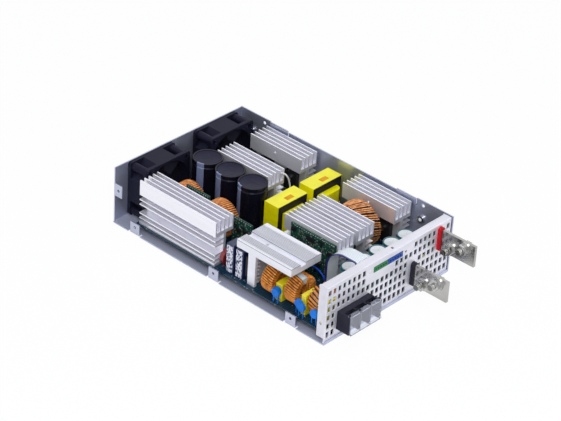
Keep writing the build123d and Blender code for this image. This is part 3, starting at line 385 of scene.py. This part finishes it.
finishes = {
    "panel": plated("panelPlate", (0.78, 0.78, 0.85), 0.46, stretch=(0.3, 1, 1), scale=70.0, metal=0.6),
    "zinc": plated("zincSteel", (0.58, 0.58, 0.58), 0.2, scale=220.0, spread=0.3, bump=0.03),
    "nickel": plated("nickelBar", (0.46, 0.455, 0.44), 0.16, stretch=(1, 0.3, 1), scale=30.0, metal=0.95,
                     spread=0.3, bump=0.015),
    "fin": plated("finAluminium", (0.92, 0.92, 0.98), 0.33, stretch=(1, 0.08, 1), scale=160.0, metal=0.62,
                  spread=0.03, bump=0.02),
    "fanPlastic": moulded("fanPlastic", (0.010, 0.010, 0.022), 0.48, gloss=0.16),
    "blade": moulded("bladePlastic", (0.009, 0.009, 0.015), 0.42, gloss=0.14),
    "board": boardMask("mainMask", mask=(0.003, 0.022, 0.052), trace=(0.010, 0.065, 0.11),
                       pad=(0.30, 0.34, 0.34)),
    "smallBoard": boardMask("smallMask", mask=(0.006, 0.042, 0.030), trace=(0.020, 0.110, 0.075),
                            pad=(0.34, 0.38, 0.35), scale=0.8),
    "package": moulded("packageEpoxy", (0.012, 0.012, 0.015), 0.40, gloss=0.25),
    "ferrite": moulded("ferrite", (0.010, 0.009, 0.014), 0.55, grain=500.0, gloss=0.2),
    "paleCore": moulded("paleCore", (0.55, 0.60, 0.62), 0.42, grain=500.0, coat=0.3),
    "copper": enamel("copperWire", bright=(0.88, 0.36, 0.10), deep=(0.36, 0.09, 0.015)),
    # near-black copper for the under turns: painted shade in the gaps between the outer turns
    "copperShade": enamel("copperUnderShade", bright=(0.10, 0.025, 0.006), deep=(0.03, 0.008, 0.003)),
    "copperFilter": enamel("copperFilter", bright=(0.80, 0.31, 0.045), deep=(0.36, 0.095, 0.012)),
    "copperHeavy": enamel("copperHeavy", bright=(0.90, 0.42, 0.16), deep=(0.34, 0.10, 0.03)),
    "tape": taped("yellowTape", (0.97, 0.90, 0.0)),
    "amber": moulded("amberTape", (0.78, 0.36, 0.01), 0.45, gloss=0.2),
    "sleeve": moulded("capSleeve", (0.005, 0.005, 0.011), 0.26, grain=700.0, coat=0.08, gloss=0.22),
    "lid": moulded("capLid", (0.016, 0.016, 0.034), 0.48, gloss=0.16),
    "stripe": moulded("capStripe", (0.19, 0.24, 0.40), 0.30, grain=700.0, coat=0.3),
    "teal": moulded("tealSleeve", (0.012, 0.12, 0.15), 0.28, grain=700.0, coat=0.5),
    "capTop": plated("capTop", (0.72, 0.76, 0.80), 0.42, scale=90.0, metal=0.8),
    "yellowCase": moulded("yellowCase", (0.85, 0.74, 0.01), 0.32, grain=700.0, coat=0.4),
    "blueCase": moulded("blueCase", (0.008, 0.016, 0.075), 0.32, grain=700.0, coat=0.4),
    "disc": moulded("blueDisc", (0.003, 0.18, 0.70), 0.34, grain=600.0, coat=0.05, gloss=0.2),
    "redDisc": moulded("redDisc", (0.20, 0.015, 0.022), 0.34, grain=600.0, coat=0.4),
    "blackPart": moulded("blackPlastic", (0.015, 0.015, 0.024), 0.42, gloss=0.25),
    "redPart": moulded("redPlastic", (0.56, 0.004, 0.014), 0.40, coat=0.05, gloss=0.2),
    "greenPart": moulded("greenPlastic", (0.012, 0.19, 0.06), 0.40),
    "bluePart": moulded("bluePlastic", (0.008, 0.06, 0.33), 0.38),
    "whitePart": moulded("whiteNylon", (0.70, 0.72, 0.72), 0.42),
    "clear": clearPlastic("clearCover", (0.80, 0.83, 0.95)),
    "thread": threaded("threadSteel", (0.74, 0.74, 0.71), grooveShadeColour=(0.14, 0.14, 0.13), axis="X",
                       pitch=1.0 * mm),
    "tin": plated("tinnedLead", (0.66, 0.66, 0.67), 0.26),
    "blueWire": moulded("blueWire", (0.008, 0.085, 0.72), 0.36, gloss=0.3),
    "whiteWire": moulded("whiteWire", (0.76, 0.77, 0.80), 0.36),
    "mark": moulded("boardMark", (0.62, 0.66, 0.64), 0.5),
    "tan": moulded("chipBody", (0.13, 0.12, 0.09), 0.4),
    "tray": trayFinish(),
    "whiteFin": groovedFinish(),
    "ribbon": ribbonFinish(),
    "field": fieldFinish(),
}

blueShine = (0.6, 0.62, 1.0)
for name in ("fanPlastic", "blade", "lid", "sleeve", "blackPart"):  # the black plastics shine blue
    shaderOf(finishes[name]).inputs["Specular Tint"].default_value = (*blueShine, 1)

nodeFinish = {
    "tray": ["base_tray"],
    "panel": ["front_panel"],
    "zinc": ["press_nuts", "board_standoffs", "m3_screws", "fan_screws", "heatsink_screws", "terminal_screws",
             "busbar_nuts"],
    "thread": ["busbar_bolts"],
    "nickel": ["busbar_negative", "busbar_positive"],
    "fin": ["heatsink_left", "heatsink_rear_centre", "heatsink_rear_right", "heatsink_front_right",
            "heatsink_centre_left", "heatsink_centre_right"],
    "whiteFin": ["rectifier_heatsink"],
    "fanPlastic": ["fan_frame_left", "fan_frame_right"],
    "blade": ["fan_rotor_left", "fan_rotor_right"],
    "board": ["main_board"],
    "smallBoard": ["control_board", "sense_board", "gate_board", "signal_board"],
    "package": ["power_transistors", "bridge_rectifier"],
    "ferrite": ["transformer_core_left", "transformer_core_right", "boost_choke_cores", "output_choke_core"],
    "paleCore": ["filter_choke_cores"],
    "copper": ["boost_choke_winding_rear", "boost_choke_winding_front"],
    "copperHeavy": ["output_choke_winding"],
    "copperFilter": ["filter_choke_winding_rear", "filter_choke_winding_middle",
                     "filter_choke_winding_front"],
    "tape": ["transformer_winding_left", "transformer_winding_right", "transformer_tapes"],
    "sleeve": ["bulk_capacitor_rear", "bulk_capacitor_middle", "bulk_capacitor_front"],
    "teal": ["output_capacitors"],
    "yellowCase": ["x_capacitors"],
    "blueCase": ["film_capacitors"],
    "disc": ["y_capacitors"],
    "redDisc": ["varistor"],
    "blackPart": ["busbar_sleeve_black", "terminal_block"],
    "redPart": ["busbar_sleeve_red"],
    "greenPart": ["signal_connector_green"],
    "bluePart": ["signal_connector_blue"],
    "whitePart": ["ribbon_sockets"],
    "ribbon": ["ribbon_cable"],
    "clear": ["terminal_cover"],
}
for finish, names in nodeFinish.items():
    for name in names:
        parts[name].data.materials.clear()
        parts[name].data.materials.append(finishes[finish])
print("finishes set on", sum(len(names) for names in nodeFinish.values()), "nodes")

body = "supply"  # all added detail belongs to the supply itself
smoothAngle = 35


def placePiece(name, data):
    piece = bpy.data.objects.new(name, data)
    bpy.context.scene.collection.objects.link(piece)
    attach(piece, body)
    return piece


def addPiece(name, bm, finish):
    mesh = bpy.data.meshes.new(name)
    bmesh.ops.recalc_face_normals(bm, faces=bm.faces)
    bm.to_mesh(mesh)
    bm.free()
    mesh.materials.append(finishes[finish])
    mesh.shade_smooth()
    mesh.set_sharp_from_angle(angle=radians(smoothAngle))
    placePiece(name, mesh)


def addWire(name, strands, thickness, finish, steps=3):
    curve = bpy.data.curves.new(name, "CURVE")
    curve.dimensions = "3D"
    curve.bevel_depth = thickness / 2
    curve.bevel_resolution = 2
    curve.resolution_u = steps
    curve.use_fill_caps = True
    for points in strands:
        spline = curve.splines.new("NURBS")
        spline.points.add(len(points) - 1)
        for point, place in zip(spline.points, points):
            point.co = (*place, 1)
        spline.order_u = 3
        spline.use_endpoint_u = True
    curve.materials.append(finishes[finish])
    return placePiece(name, curve)


def addCuboid(bm, low, high):
    size = [b - a for a, b in zip(low, high)]
    middle = [(a + b) / 2 for a, b in zip(low, high)]
    made = bmesh.ops.create_cube(bm, size=1.0)
    bmesh.ops.scale(bm, verts=made["verts"], vec=size)
    bmesh.ops.translate(bm, verts=made["verts"], vec=middle)


def joinedTo(starts):  # the given verts and all that hang together with them
    grown = set(starts)
    front = list(grown)
    while front:
        near = {e.other_vert(v) for v in front for e in v.link_edges}
        front = [v for v in near if v not in grown]
        grown.update(front)
    return grown


def addOutline(bm, outline):  # radius and height pairs as an open chain, ready to spin
    verts = [bm.verts.new((radius, 0, height)) for radius, height in outline]
    return verts, [bm.edges.new(pair) for pair in zip(verts, verts[1:])]


axisTurn = {"Y": Matrix.Rotation(-pi / 2, 3, "X"), "Z": Matrix.Identity(3)}


def addTurned(bm, outline, place, axis="Z", steps=28):  # outline spun right round an axis
    verts, edges = addOutline(bm, outline)
    bmesh.ops.spin(bm, geom=verts + edges, cent=(0, 0, 0), axis=(0, 0, 1), angle=tau, steps=steps,
                   use_merge=True)
    grown = list(joinedTo(verts))
    bmesh.ops.rotate(bm, verts=grown, cent=(0, 0, 0), matrix=axisTurn[axis])
    bmesh.ops.translate(bm, verts=grown, vec=place)
    bmesh.ops.remove_doubles(bm, verts=grown, dist=tiny)


def solidsOf(node):  # low and high corner of each separate solid in a node
    bm = bmesh.new()
    bm.from_mesh(parts[node].data)
    bmesh.ops.remove_doubles(bm, verts=bm.verts, dist=tiny)
    left = set(bm.verts)
    boxes = []
    while left:
        island = joinedTo([next(iter(left))])
        left -= island
        spans = [[v.co[k] for v in island] for k in range(3)]
        boxes.append(([min(span) for span in spans], [max(span) for span in spans]))
    bm.free()
    return sorted(boxes)


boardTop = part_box("main_board")[1].z
# a turn has eight points; shares say how far each has moved on towards the next turn
turnShape = {"layer": 0.85, "innerEase": 0.25, "outerEase": 0.6,
             "shares": (0.0, 0.0, 0.05, 0.45, 0.85, 0.9, 0.95, 1.0)}
shadeTurn = {"outer": 0.45, "room": 0.4, "width": 0.9}  # how far the turns of painted shade draw in, in wires


def coilPoints(centre, coil, start, offset=0.0):  # one strand round the ring's section, turn by turn
    half = coil["wire"] / 2
    outer = coil["outer"] - half
    inner = coil["inner"] + coil["room"] - half
    side = coil["width"] / 2 - half
    outerCorner = outer - turnShape["outerEase"] * half
    step = coil["sweep"] / coil["turns"]
    points = []
    for turn in range(coil["turns"]):
        level = inner - (turn % coil["levels"]) * coil["wire"] * turnShape["layer"]
        innerCorner = level + turnShape["innerEase"] * half
        base = start + offset + turn * step
        section = [(innerCorner, -side), (outerCorner, -side), (outer, -side + half), (outer, 0.0),
                   (outer, side - half), (outerCorner, side), (innerCorner, side), (level, 0.0)]
        for (radius, aside), share in zip(section, turnShape["shares"]):
            angle = radians(base + share * step)
            across, height = radius * cos(angle), radius * sin(angle)
            if coil["axis"] == "X":
                points.append((centre.x + aside, centre.y + across, centre.z + height))
            else:
                points.append((centre.x - across, centre.y + aside, centre.z + height))
    return points


def withLegs(strand):  # both ends run straight down to the board
    return [(strand[0][0], strand[0][1], boardTop)] + strand + [(strand[-1][0], strand[-1][1], boardTop)]


def ringOf(node, outer):  # middle of a ring that stands on the board
    low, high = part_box(node)
    centre = (low + high) / 2
    centre.z = boardTop + outer
    return centre


def addShadeTurns(name, centre, coil, starts):  # near-black turns of painted shade that show between the outer ones
    wire = coil["wire"]
    lower = dict(coil, levels=1, outer=coil["outer"] - wire * shadeTurn["outer"],
                 room=coil["room"] + wire * shadeTurn["room"],
                 width=coil["width"] - wire * shadeTurn["width"])
    offset = coil["sweep"] / coil["turns"] / 2
    strands = [coilPoints(centre, lower, start, offset) for start in starts]
    addWire(name, strands, wire, "copperShade")


boostCoil = {"axis": "X", "outer": 19.0 * mm, "inner": 8.0 * mm, "room": 1.7 * mm, "width": 15.0 * mm,
             "wire": 1.6 * mm, "turns": 46, "start": -80.0, "sweep": 340.0, "levels": 2}
for end in ("rear", "front"):
    node = "boost_choke_winding_" + end
    centre = ringOf(node, boostCoil["outer"])
    strand = coilPoints(centre, boostCoil, boostCoil["start"])
    coil = addWire("boostCoil_" + end, [withLegs(strand)], boostCoil["wire"], "copper")
    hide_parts(node)
    addShadeTurns("boostShadeTurns_" + end, centre, boostCoil, [boostCoil["start"]])

outputCoil = {"axis": "X", "outer": 24.0 * mm, "inner": 9.0 * mm, "room": 2.2 * mm, "width": 21.0 * mm,
              "wire": 1.4 * mm, "turns": 17, "start": -80.0, "sweep": 340.0, "levels": 2, "strands": 3,
              "pitch": 5.7}
centre = ringOf("output_choke_winding", outputCoil["outer"])
strands = [withLegs(coilPoints(centre, outputCoil, outputCoil["start"], index * outputCoil["pitch"]))
           for index in range(outputCoil["strands"])]
coil = addWire("outputCoil", strands, outputCoil["wire"], "copperHeavy")
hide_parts("output_choke_winding")

filterCoil = {"axis": "Y", "outer": 15.4 * mm, "inner": 6.0 * mm, "room": 1.6 * mm, "width": 15.0 * mm,
              "wire": 1.7 * mm, "turns": 16, "sweep": 150.0, "levels": 2, "sides": (-90.0, 90.0)}
frontCoil = dict(filterCoil, room=2.2 * mm, wire=2.1 * mm, turns=9, sweep=144.0, levels=1)
for end, coil in (("rear", filterCoil), ("middle", filterCoil), ("front", frontCoil)):
    node = "filter_choke_winding_" + end
    centre = ringOf(node, coil["outer"])
    starts = [side + (180.0 - coil["sweep"]) / 2 for side in coil["sides"]]
    strands = [withLegs(coilPoints(centre, coil, start)) for start in starts]
    wire = addWire("filterCoil_" + end, strands, coil["wire"], "copperFilter")
    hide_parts(node)
    addShadeTurns("filterShadeTurns_" + end, centre, dict(coil, turns=coil["turns"] - 1), starts)
print("chokes wound")


def addVents(bm, vent, place):  # thin bars that point outwards from a can's middle
    for angle in vent["angles"]:
        made = bmesh.ops.create_cube(bm, size=1.0)
        bmesh.ops.scale(bm, verts=made["verts"], vec=vent["size"])
        bmesh.ops.translate(bm, verts=made["verts"], vec=(vent["out"], 0, 0))
        turn = Matrix.Rotation(radians(angle), 3, "Z")
        bmesh.ops.rotate(bm, verts=made["verts"], cent=(0, 0, 0), matrix=turn)
        bmesh.ops.translate(bm, verts=made["verts"], vec=place)


capStripe = {"sweep": 31.0, "steps": 8, "angles": {"rear": 194.0, "middle": 171.0, "front": 157.0},
             "proud": 0.06 * mm, "foot": 0.4 * mm, "crimp": 4.5 * mm, "crimpDepth": 0.9 * mm, "rim": 1.5 * mm}
capLid = {"radius": 13.1 * mm, "drop": 0.7 * mm, "lift": 0.05 * mm, "steps": 40,
          "inset": (1.4 * mm, 0.9 * mm, 0.3 * mm, 0.0), "height": (0.0, 0.25 * mm, 0.3 * mm, 0.05 * mm)}
capVentShade = {"angles": (35, 155, 275), "size": (6.5 * mm, 0.35 * mm, 0.12 * mm), "out": 3.6 * mm,
           "lift": 0.06 * mm}
for end in ("rear", "middle", "front"):
    low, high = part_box("bulk_capacitor_" + end)
    middle = (low + high) / 2
    radius = (high.x - low.x) / 2 + capStripe["proud"]
    top = high.z + capStripe["proud"]
    neck = high.z - capStripe["crimp"]
    deep = capStripe["crimpDepth"]
    bm = bmesh.new()
    outline = [(radius, low.z + capStripe["foot"]), (radius, neck - deep), (radius - deep, neck),
               (radius, neck + deep), (radius, top), (radius - capStripe["rim"], top)]
    verts, edges = addOutline(bm, outline)
    sweep = radians(capStripe["sweep"])
    bmesh.ops.spin(bm, geom=verts + edges, cent=(0, 0, 0), axis=(0, 0, 1), angle=sweep,
                   steps=capStripe["steps"])
    turn = Matrix.Rotation(radians(capStripe["angles"][end]) - sweep / 2, 3, "Z")
    bmesh.ops.rotate(bm, verts=bm.verts, cent=(0, 0, 0), matrix=turn)
    bmesh.ops.translate(bm, verts=bm.verts, vec=(middle.x, middle.y, 0))
    bmesh.ops.recalc_face_normals(bm, faces=bm.faces)
    bmesh.ops.solidify(bm, geom=bm.faces[:], thickness=capStripe["proud"])
    addPiece("capStripe_" + end, bm, "stripe")
    # lid, and on it three vent grooves as thin dark bars of painted shade
    seat = high.z - capLid["drop"]
    rim = zip(capLid["inset"], capLid["height"])
    lid = [(0, 0)] + [(capLid["radius"] - inset, height) for inset, height in rim]
    bm = bmesh.new()
    addTurned(bm, lid, (middle.x, middle.y, seat + capLid["lift"]), steps=capLid["steps"])
    addPiece("capLid_" + end, bm, "lid")
    bm = bmesh.new()
    addVents(bm, capVentShade, (middle.x, middle.y, seat + capVentShade["lift"]))
    addPiece("capVentShade_" + end, bm, "sleeve")

outputLid = {"drop": 0.38 * mm, "radius": (0.0, 6.4 * mm, 6.9 * mm, 7.55 * mm),
             "height": (0.1 * mm, 0.1 * mm, 0.28 * mm, 0.0)}
outputVent = {"angles": (20, 140, 260), "size": (4.6 * mm, 0.3 * mm, 0.1 * mm), "out": 2.3 * mm,
              "lift": 0.12 * mm}
lidMesh = bmesh.new()
ventMesh = bmesh.new()
for low, high in solidsOf("output_capacitors"):
    capX, capY = (low[0] + high[0]) / 2, (low[1] + high[1]) / 2
    seat = high[2] - outputLid["drop"]
    addTurned(lidMesh, zip(outputLid["radius"], outputLid["height"]), (capX, capY, seat))
    addVents(ventMesh, outputVent, (capX, capY, seat + outputVent["lift"]))
addPiece("outputLids", lidMesh, "capTop")
addPiece("outputVents", ventMesh, "tin")

filmField = {"insetEnds": 1.2 * mm, "insetSide": 0.7 * mm, "proud": 0.05 * mm}
bm = bmesh.new()
for low, high in solidsOf("film_capacitors"):
    insetY, insetZ = filmField["insetSide"], filmField["insetEnds"]
    addCuboid(bm, (low[0] - filmField["proud"], low[1] + insetY, low[2] + insetZ),
              (low[0] + sunk, high[1] - insetY, high[2] - insetZ))
addPiece("filmFields", bm, "field")
print("capacitors dressed")

patch = {"width": 10.0 * mm, "depth": 5.4 * mm, "shiftX": 1.5 * mm, "shiftY": -2.5 * mm,
         "proud": 0.06 * mm}
bm = bmesh.new()
for side in ("left", "right"):
    low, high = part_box("transformer_core_" + side)
    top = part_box("transformer_tapes")[1].z
    x = (low.x + high.x) / 2 + patch["shiftX"]
    y = (low.y + high.y) / 2 + patch["shiftY"]
    addCuboid(bm, (x - patch["width"] / 2, y - patch["depth"] / 2, top - sunk),
              (x + patch["width"] / 2, y + patch["depth"] / 2, top + patch["proud"]))
addPiece("coreTapes", bm, "amber")

# leads of the transformers, from the windings down to the rails
leadRow = {"count": 6, "pitch": 4.0 * mm, "wire": 0.9 * mm, "proud": 0.3 * mm,
           "aside": (0.0, 0.0, 1.2 * mm, 1.6 * mm, 1.6 * mm), "inward": (0.0, 0.0, 0.0, 0.0, 1.5 * mm),
           "height": (-1.0 * mm, 3.0 * mm, 7.0 * mm, 12.5 * mm, 13.5 * mm)}
strands = []
for side in ("left", "right"):
    low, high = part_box("transformer_winding_" + side)
    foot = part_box("transformer_core_" + side)[0].z
    first = (low.x + high.x) / 2 - (leadRow["count"] - 1) / 2 * leadRow["pitch"]
    for face, outward in ((low.y, -1), (high.y, 1)):
        y = face + outward * leadRow["proud"]
        for index in range(leadRow["count"]):
            x = first + index * leadRow["pitch"]
            bends = zip(leadRow["aside"], leadRow["inward"], leadRow["height"])
            lead = [(x + aside, y - outward * inward, foot + height) for aside, inward, height in bends]
            strands.append(lead)
addWire("transformerLeads", strands, leadRow["wire"], "copper")

looseLeads = {
    "whiteLead": {"wire": 1.7 * mm, "finish": "whiteWire", "slot": "socket_white", "steps": 8,
                  "points": [(0.0336, 0.0420, 0.0480), (0.0336, 0.0370, 0.0530), (0.0335, 0.0310, 0.0555),
                             (0.0345, 0.0270, 0.0550), (0.0372, 0.0256, 0.0500), (0.0400, 0.0254, 0.0410),
                             (0.0415, 0.0255, 0.0280), (0.0418, 0.0255, boardTop)]},
    "blueLead": {"wire": 1.5 * mm, "finish": "blueWire", "slot": "connector_blue", "steps": 8,
                 "points": [(-0.0310, -0.0560, boardTop), (-0.0308, -0.0600, 0.0210),
                            (-0.0302, -0.0680, 0.0262), (-0.0300, -0.0780, 0.0256),
                            (-0.0300, -0.0860, 0.0190), (-0.0302, -0.0885, boardTop)]},
    "chokeLead": {"wire": 1.8 * mm, "finish": "whiteWire", "slot": "socket_white", "steps": 6,
                  "points": [(-0.0476, -0.0772, boardTop), (-0.0472, -0.0770, 0.0200),
                             (-0.0478, -0.0772, 0.0262), (-0.0505, -0.0776, 0.0285)]},
}
for name, lead in looseLeads.items():
    addWire(name, [lead["points"]], lead["wire"], lead["finish"], lead["steps"])
print("leads laid")

smdParts = {  # mesh, then length, width and height in millimetres
    "longChip": ("chips", 10.0, 4.0, 1.6),
    "chip": ("chips", 5.0, 4.0, 1.5),
    "smallChip": ("chips", 2.9, 1.6, 1.0),
    "body": ("bodies", 2.0, 1.2, 0.6),
    "mark": ("marks", 1.6, 0.35, 0.03),
    "longMark": ("marks", 2.4, 0.35, 0.03),
    "end": ("ends", 1.1, 0.6, 0.25),
    "bigEnd": ("ends", 1.3, 0.7, 0.3),
    "film": ("films", 7.0, 2.6, 6.5),
}
smallFill = {"chip": 3, "smallChip": 5, "body": 22, "mark": 30, "end": 14}
uprightFill = {
    "control_board": {"longChip": 3, "chip": 7, "smallChip": 10, "body": 46, "mark": 60, "end": 30},
    "sense_board": smallFill,
    "gate_board": smallFill,
}
mainFill = {"chip": 8, "smallChip": 22, "body": 110, "longMark": 150, "bigEnd": 80, "film": 14}
scatterRule = {"tries": 60, "gap": 0.35 * mm, "side": 0.8 * mm, "foot": 3.0 * mm, "top": 2.2 * mm,
               "mainEdge": 1.5 * mm, "overBoard": 0.2 * mm, "frontSeed": 11, "backSeed": 21, "mainSeed": 7}


def freeSpot(taken, low, high):
    gap = scatterRule["gap"]
    return all(high[0] + gap < a[0] or low[0] - gap > b[0] or high[1] + gap < a[1] or low[1] - gap > b[1]
               for a, b in taken)


def scatter(meshes, fill, region, taken, facing, face, seed):  # parts go where nothing else stands
    rng = Random(seed)
    (a0, b0), (a1, b1) = region
    for kind, count in fill.items():
        meshName, length, width, height = smdParts[kind]
        length, width, height = length * mm, width * mm, height * mm
        for index in range(count):
            for attempt in range(scatterRule["tries"]):
                la, lb = (length, width) if rng.random() < 0.5 else (width, length)
                a, b = rng.uniform(a0, a1 - la), rng.uniform(b0, b1 - lb)
                if a1 - a0 > la and b1 - b0 > lb and freeSpot(taken, (a, b), (a + la, b + lb)):
                    taken.append(((a, b), (a + la, b + lb)))
                    low, high = {"-X": ((face - height, a, b), (face + sunk, a + la, b + lb)),
                                 "+X": ((face - sunk, a, b), (face + height, a + la, b + lb)),
                                 "+Z": ((a, b, face - sunk), (a + la, b + lb, face + height))}[facing]
                    addCuboid(meshes[meshName], low, high)
                    break


smdMesh = {name: bmesh.new() for name in ("chips", "bodies", "marks", "ends", "films")}
edgeRow = {"inset": 1.5 * mm, "pitch": 2.9 * mm, "length": 1.5 * mm, "height": 0.7 * mm, "below": 0.9 * mm,
           "proud": 0.04 * mm}
for number, (board, fill) in enumerate(uprightFill.items()):
    low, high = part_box(board)
    row = low.y + edgeRow["inset"]  # pale pads along the upper edge
    top = high.z - edgeRow["below"]
    while row < high.y - edgeRow["inset"] - edgeRow["length"]:
        addCuboid(smdMesh["marks"], (low.x - edgeRow["proud"], row, top - edgeRow["height"]),
                  (low.x + sunk, row + edgeRow["length"], top))
        row += edgeRow["pitch"]
    region = ((low.y + scatterRule["side"], low.z + scatterRule["foot"]),
              (high.y - scatterRule["side"], high.z - scatterRule["top"]))
    scatter(smdMesh, fill, region, [], "-X", low.x, scatterRule["frontSeed"] + number)
    backFill = {kind: count for kind, count in fill.items() if kind in ("body", "mark")}
    scatter(smdMesh, backFill, region, [], "+X", high.x, scatterRule["backSeed"] + number)

# not counted as standing on the board
openNodes = {"base_tray", "front_panel", "main_board", "press_nuts", "fan_screws", "transformer_tapes"}
mainTaken = [(low[:2], high[:2]) for name in parts.keys() if name not in openNodes
             for low, high in solidsOf(name) if high[2] > boardTop + scatterRule["overBoard"]]
low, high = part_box("main_board")
edge = scatterRule["mainEdge"]
region = ((low.x + edge, low.y + edge), (high.x - edge, high.y - edge))
scatter(smdMesh, mainFill, region, mainTaken, "+Z", boardTop, scatterRule["mainSeed"])
for meshName, finish, slotName in (("chips", "package", "package_black"), ("bodies", "tan", "package_black"),
                                   ("marks", "mark", "board_green"), ("ends", "tin", "package_black"),
                                   ("films", "yellowCase", "package_black")):
    addPiece("board_" + meshName, smdMesh[meshName], finish)
print("boards filled")

crossHead = {"panelSize": 3.2 * mm, "fanSize": 4.0 * mm, "slender": 9, "lift": 0.03 * mm}


def addCross(bm, place, axis, size):  # recess of a cross head screw, drawn on its top as a dark cross of painted shade
    half, wide, lift = size / 2, size / crossHead["slender"], crossHead["lift"]
    for a, b in ((half, wide), (wide, half)):
        reach = {"Y": (a, lift, b), "Z": (a, b, lift)}[axis]
        addCuboid(bm, [p - r for p, r in zip(place, reach)], [p + r for p, r in zip(place, reach)])


crossShadeMesh = bmesh.new()
for low, high in solidsOf("m3_screws"):
    if high[2] > boardTop:
        top = ((low[0] + high[0]) / 2, (low[1] + high[1]) / 2, high[2])
        addCross(crossShadeMesh, top, "Z", crossHead["panelSize"])
for low, high in solidsOf("fan_screws"):
    top = ((low[0] + high[0]) / 2, high[1], (low[2] + high[2]) / 2)
    addCross(crossShadeMesh, top, "Y", crossHead["fanSize"])
addPiece("screwCrossShade", crossShadeMesh, "package")

connectorPin = {"pitch": 3.5 * mm, "wall": 1.0 * mm, "half": 0.4 * mm, "back": 5.0 * mm, "front": 1.0 * mm}
pinMesh = bmesh.new()
for colour in ("green", "blue"):
    low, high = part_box("signal_connector_" + colour)
    ways = int((high.x - low.x - connectorPin["wall"]) / connectorPin["pitch"] + tiny)
    first = (low.x + high.x) / 2 - (ways - 1) * connectorPin["pitch"] / 2
    z = (low.z + high.z) / 2
    half = connectorPin["half"]
    for index in range(ways):
        x = first + index * connectorPin["pitch"]
        addCuboid(pinMesh, (x - half, low.y + connectorPin["front"], z - half),
                  (x + half, low.y + connectorPin["back"], z + half))
addPiece("connectorPins", pinMesh, "tin")

panelLamp = {"x": -28.6 * mm, "z": 52.6 * mm, "radius": 1.25 * mm, "rim": 2.0 * mm, "stem": 1.2 * mm,
             "proud": 0.6 * mm, "shoulder": 0.48 * mm, "rimProud": 0.05 * mm, "seat": 0.02 * mm,
             "depth": 4.0 * mm, "steps": 20}
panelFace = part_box("front_panel")[0].y
lens = [(0, -panelLamp["proud"]), (panelLamp["radius"], -panelLamp["shoulder"]),
        (panelLamp["rim"], -panelLamp["rimProud"]), (panelLamp["rim"], panelLamp["seat"]),
        (panelLamp["stem"], panelLamp["seat"]), (panelLamp["stem"], panelLamp["depth"]),
        (0, panelLamp["depth"])]
bm = bmesh.new()
addTurned(bm, lens, (panelLamp["x"], panelFace, panelLamp["z"]), "Y", panelLamp["steps"])
addPiece("panelLamp", bm, "whitePart")
print("small parts added")

floor = {"size": 6.0, "drop": 0.2 * mm, "colour": (0.92, 0.92, 0.93), "rough": 0.9,
         "glowColour": (1, 1, 1), "glow": 1.0, "glowShare": 0.95}


def makeFloor():  # glows white where it is seen, and still takes a faint shadow
    bm = bmesh.new()
    bmesh.ops.create_grid(bm, x_segments=1, y_segments=1, size=floor["size"])
    mesh = bpy.data.meshes.new("studioFloor")
    bm.to_mesh(mesh)
    bm.free()
    material = bpy.data.materials.new("studioFloor")
    material.use_nodes = True
    tree = material.node_tree
    shader = shaderOf(material)
    shader.inputs["Base Color"].default_value = (*floor["colour"], 1)
    shader.inputs["Roughness"].default_value = floor["rough"]
    glow = tree.nodes.new("ShaderNodeEmission")
    glow.inputs["Color"].default_value = (*floor["glowColour"], 1)
    glow.inputs["Strength"].default_value = floor["glow"]
    share = calculated(tree, "MULTIPLY", seenDirectly(tree), floor["glowShare"])
    mixShaders(tree, share, shader.outputs[0], glow.outputs[0], "Material Output")
    mesh.materials.append(material)
    plane = bpy.data.objects.new("studioFloor", mesh)
    bpy.context.scene.collection.objects.link(plane)
    plane.location.z = -floor["drop"]


makeFloor()
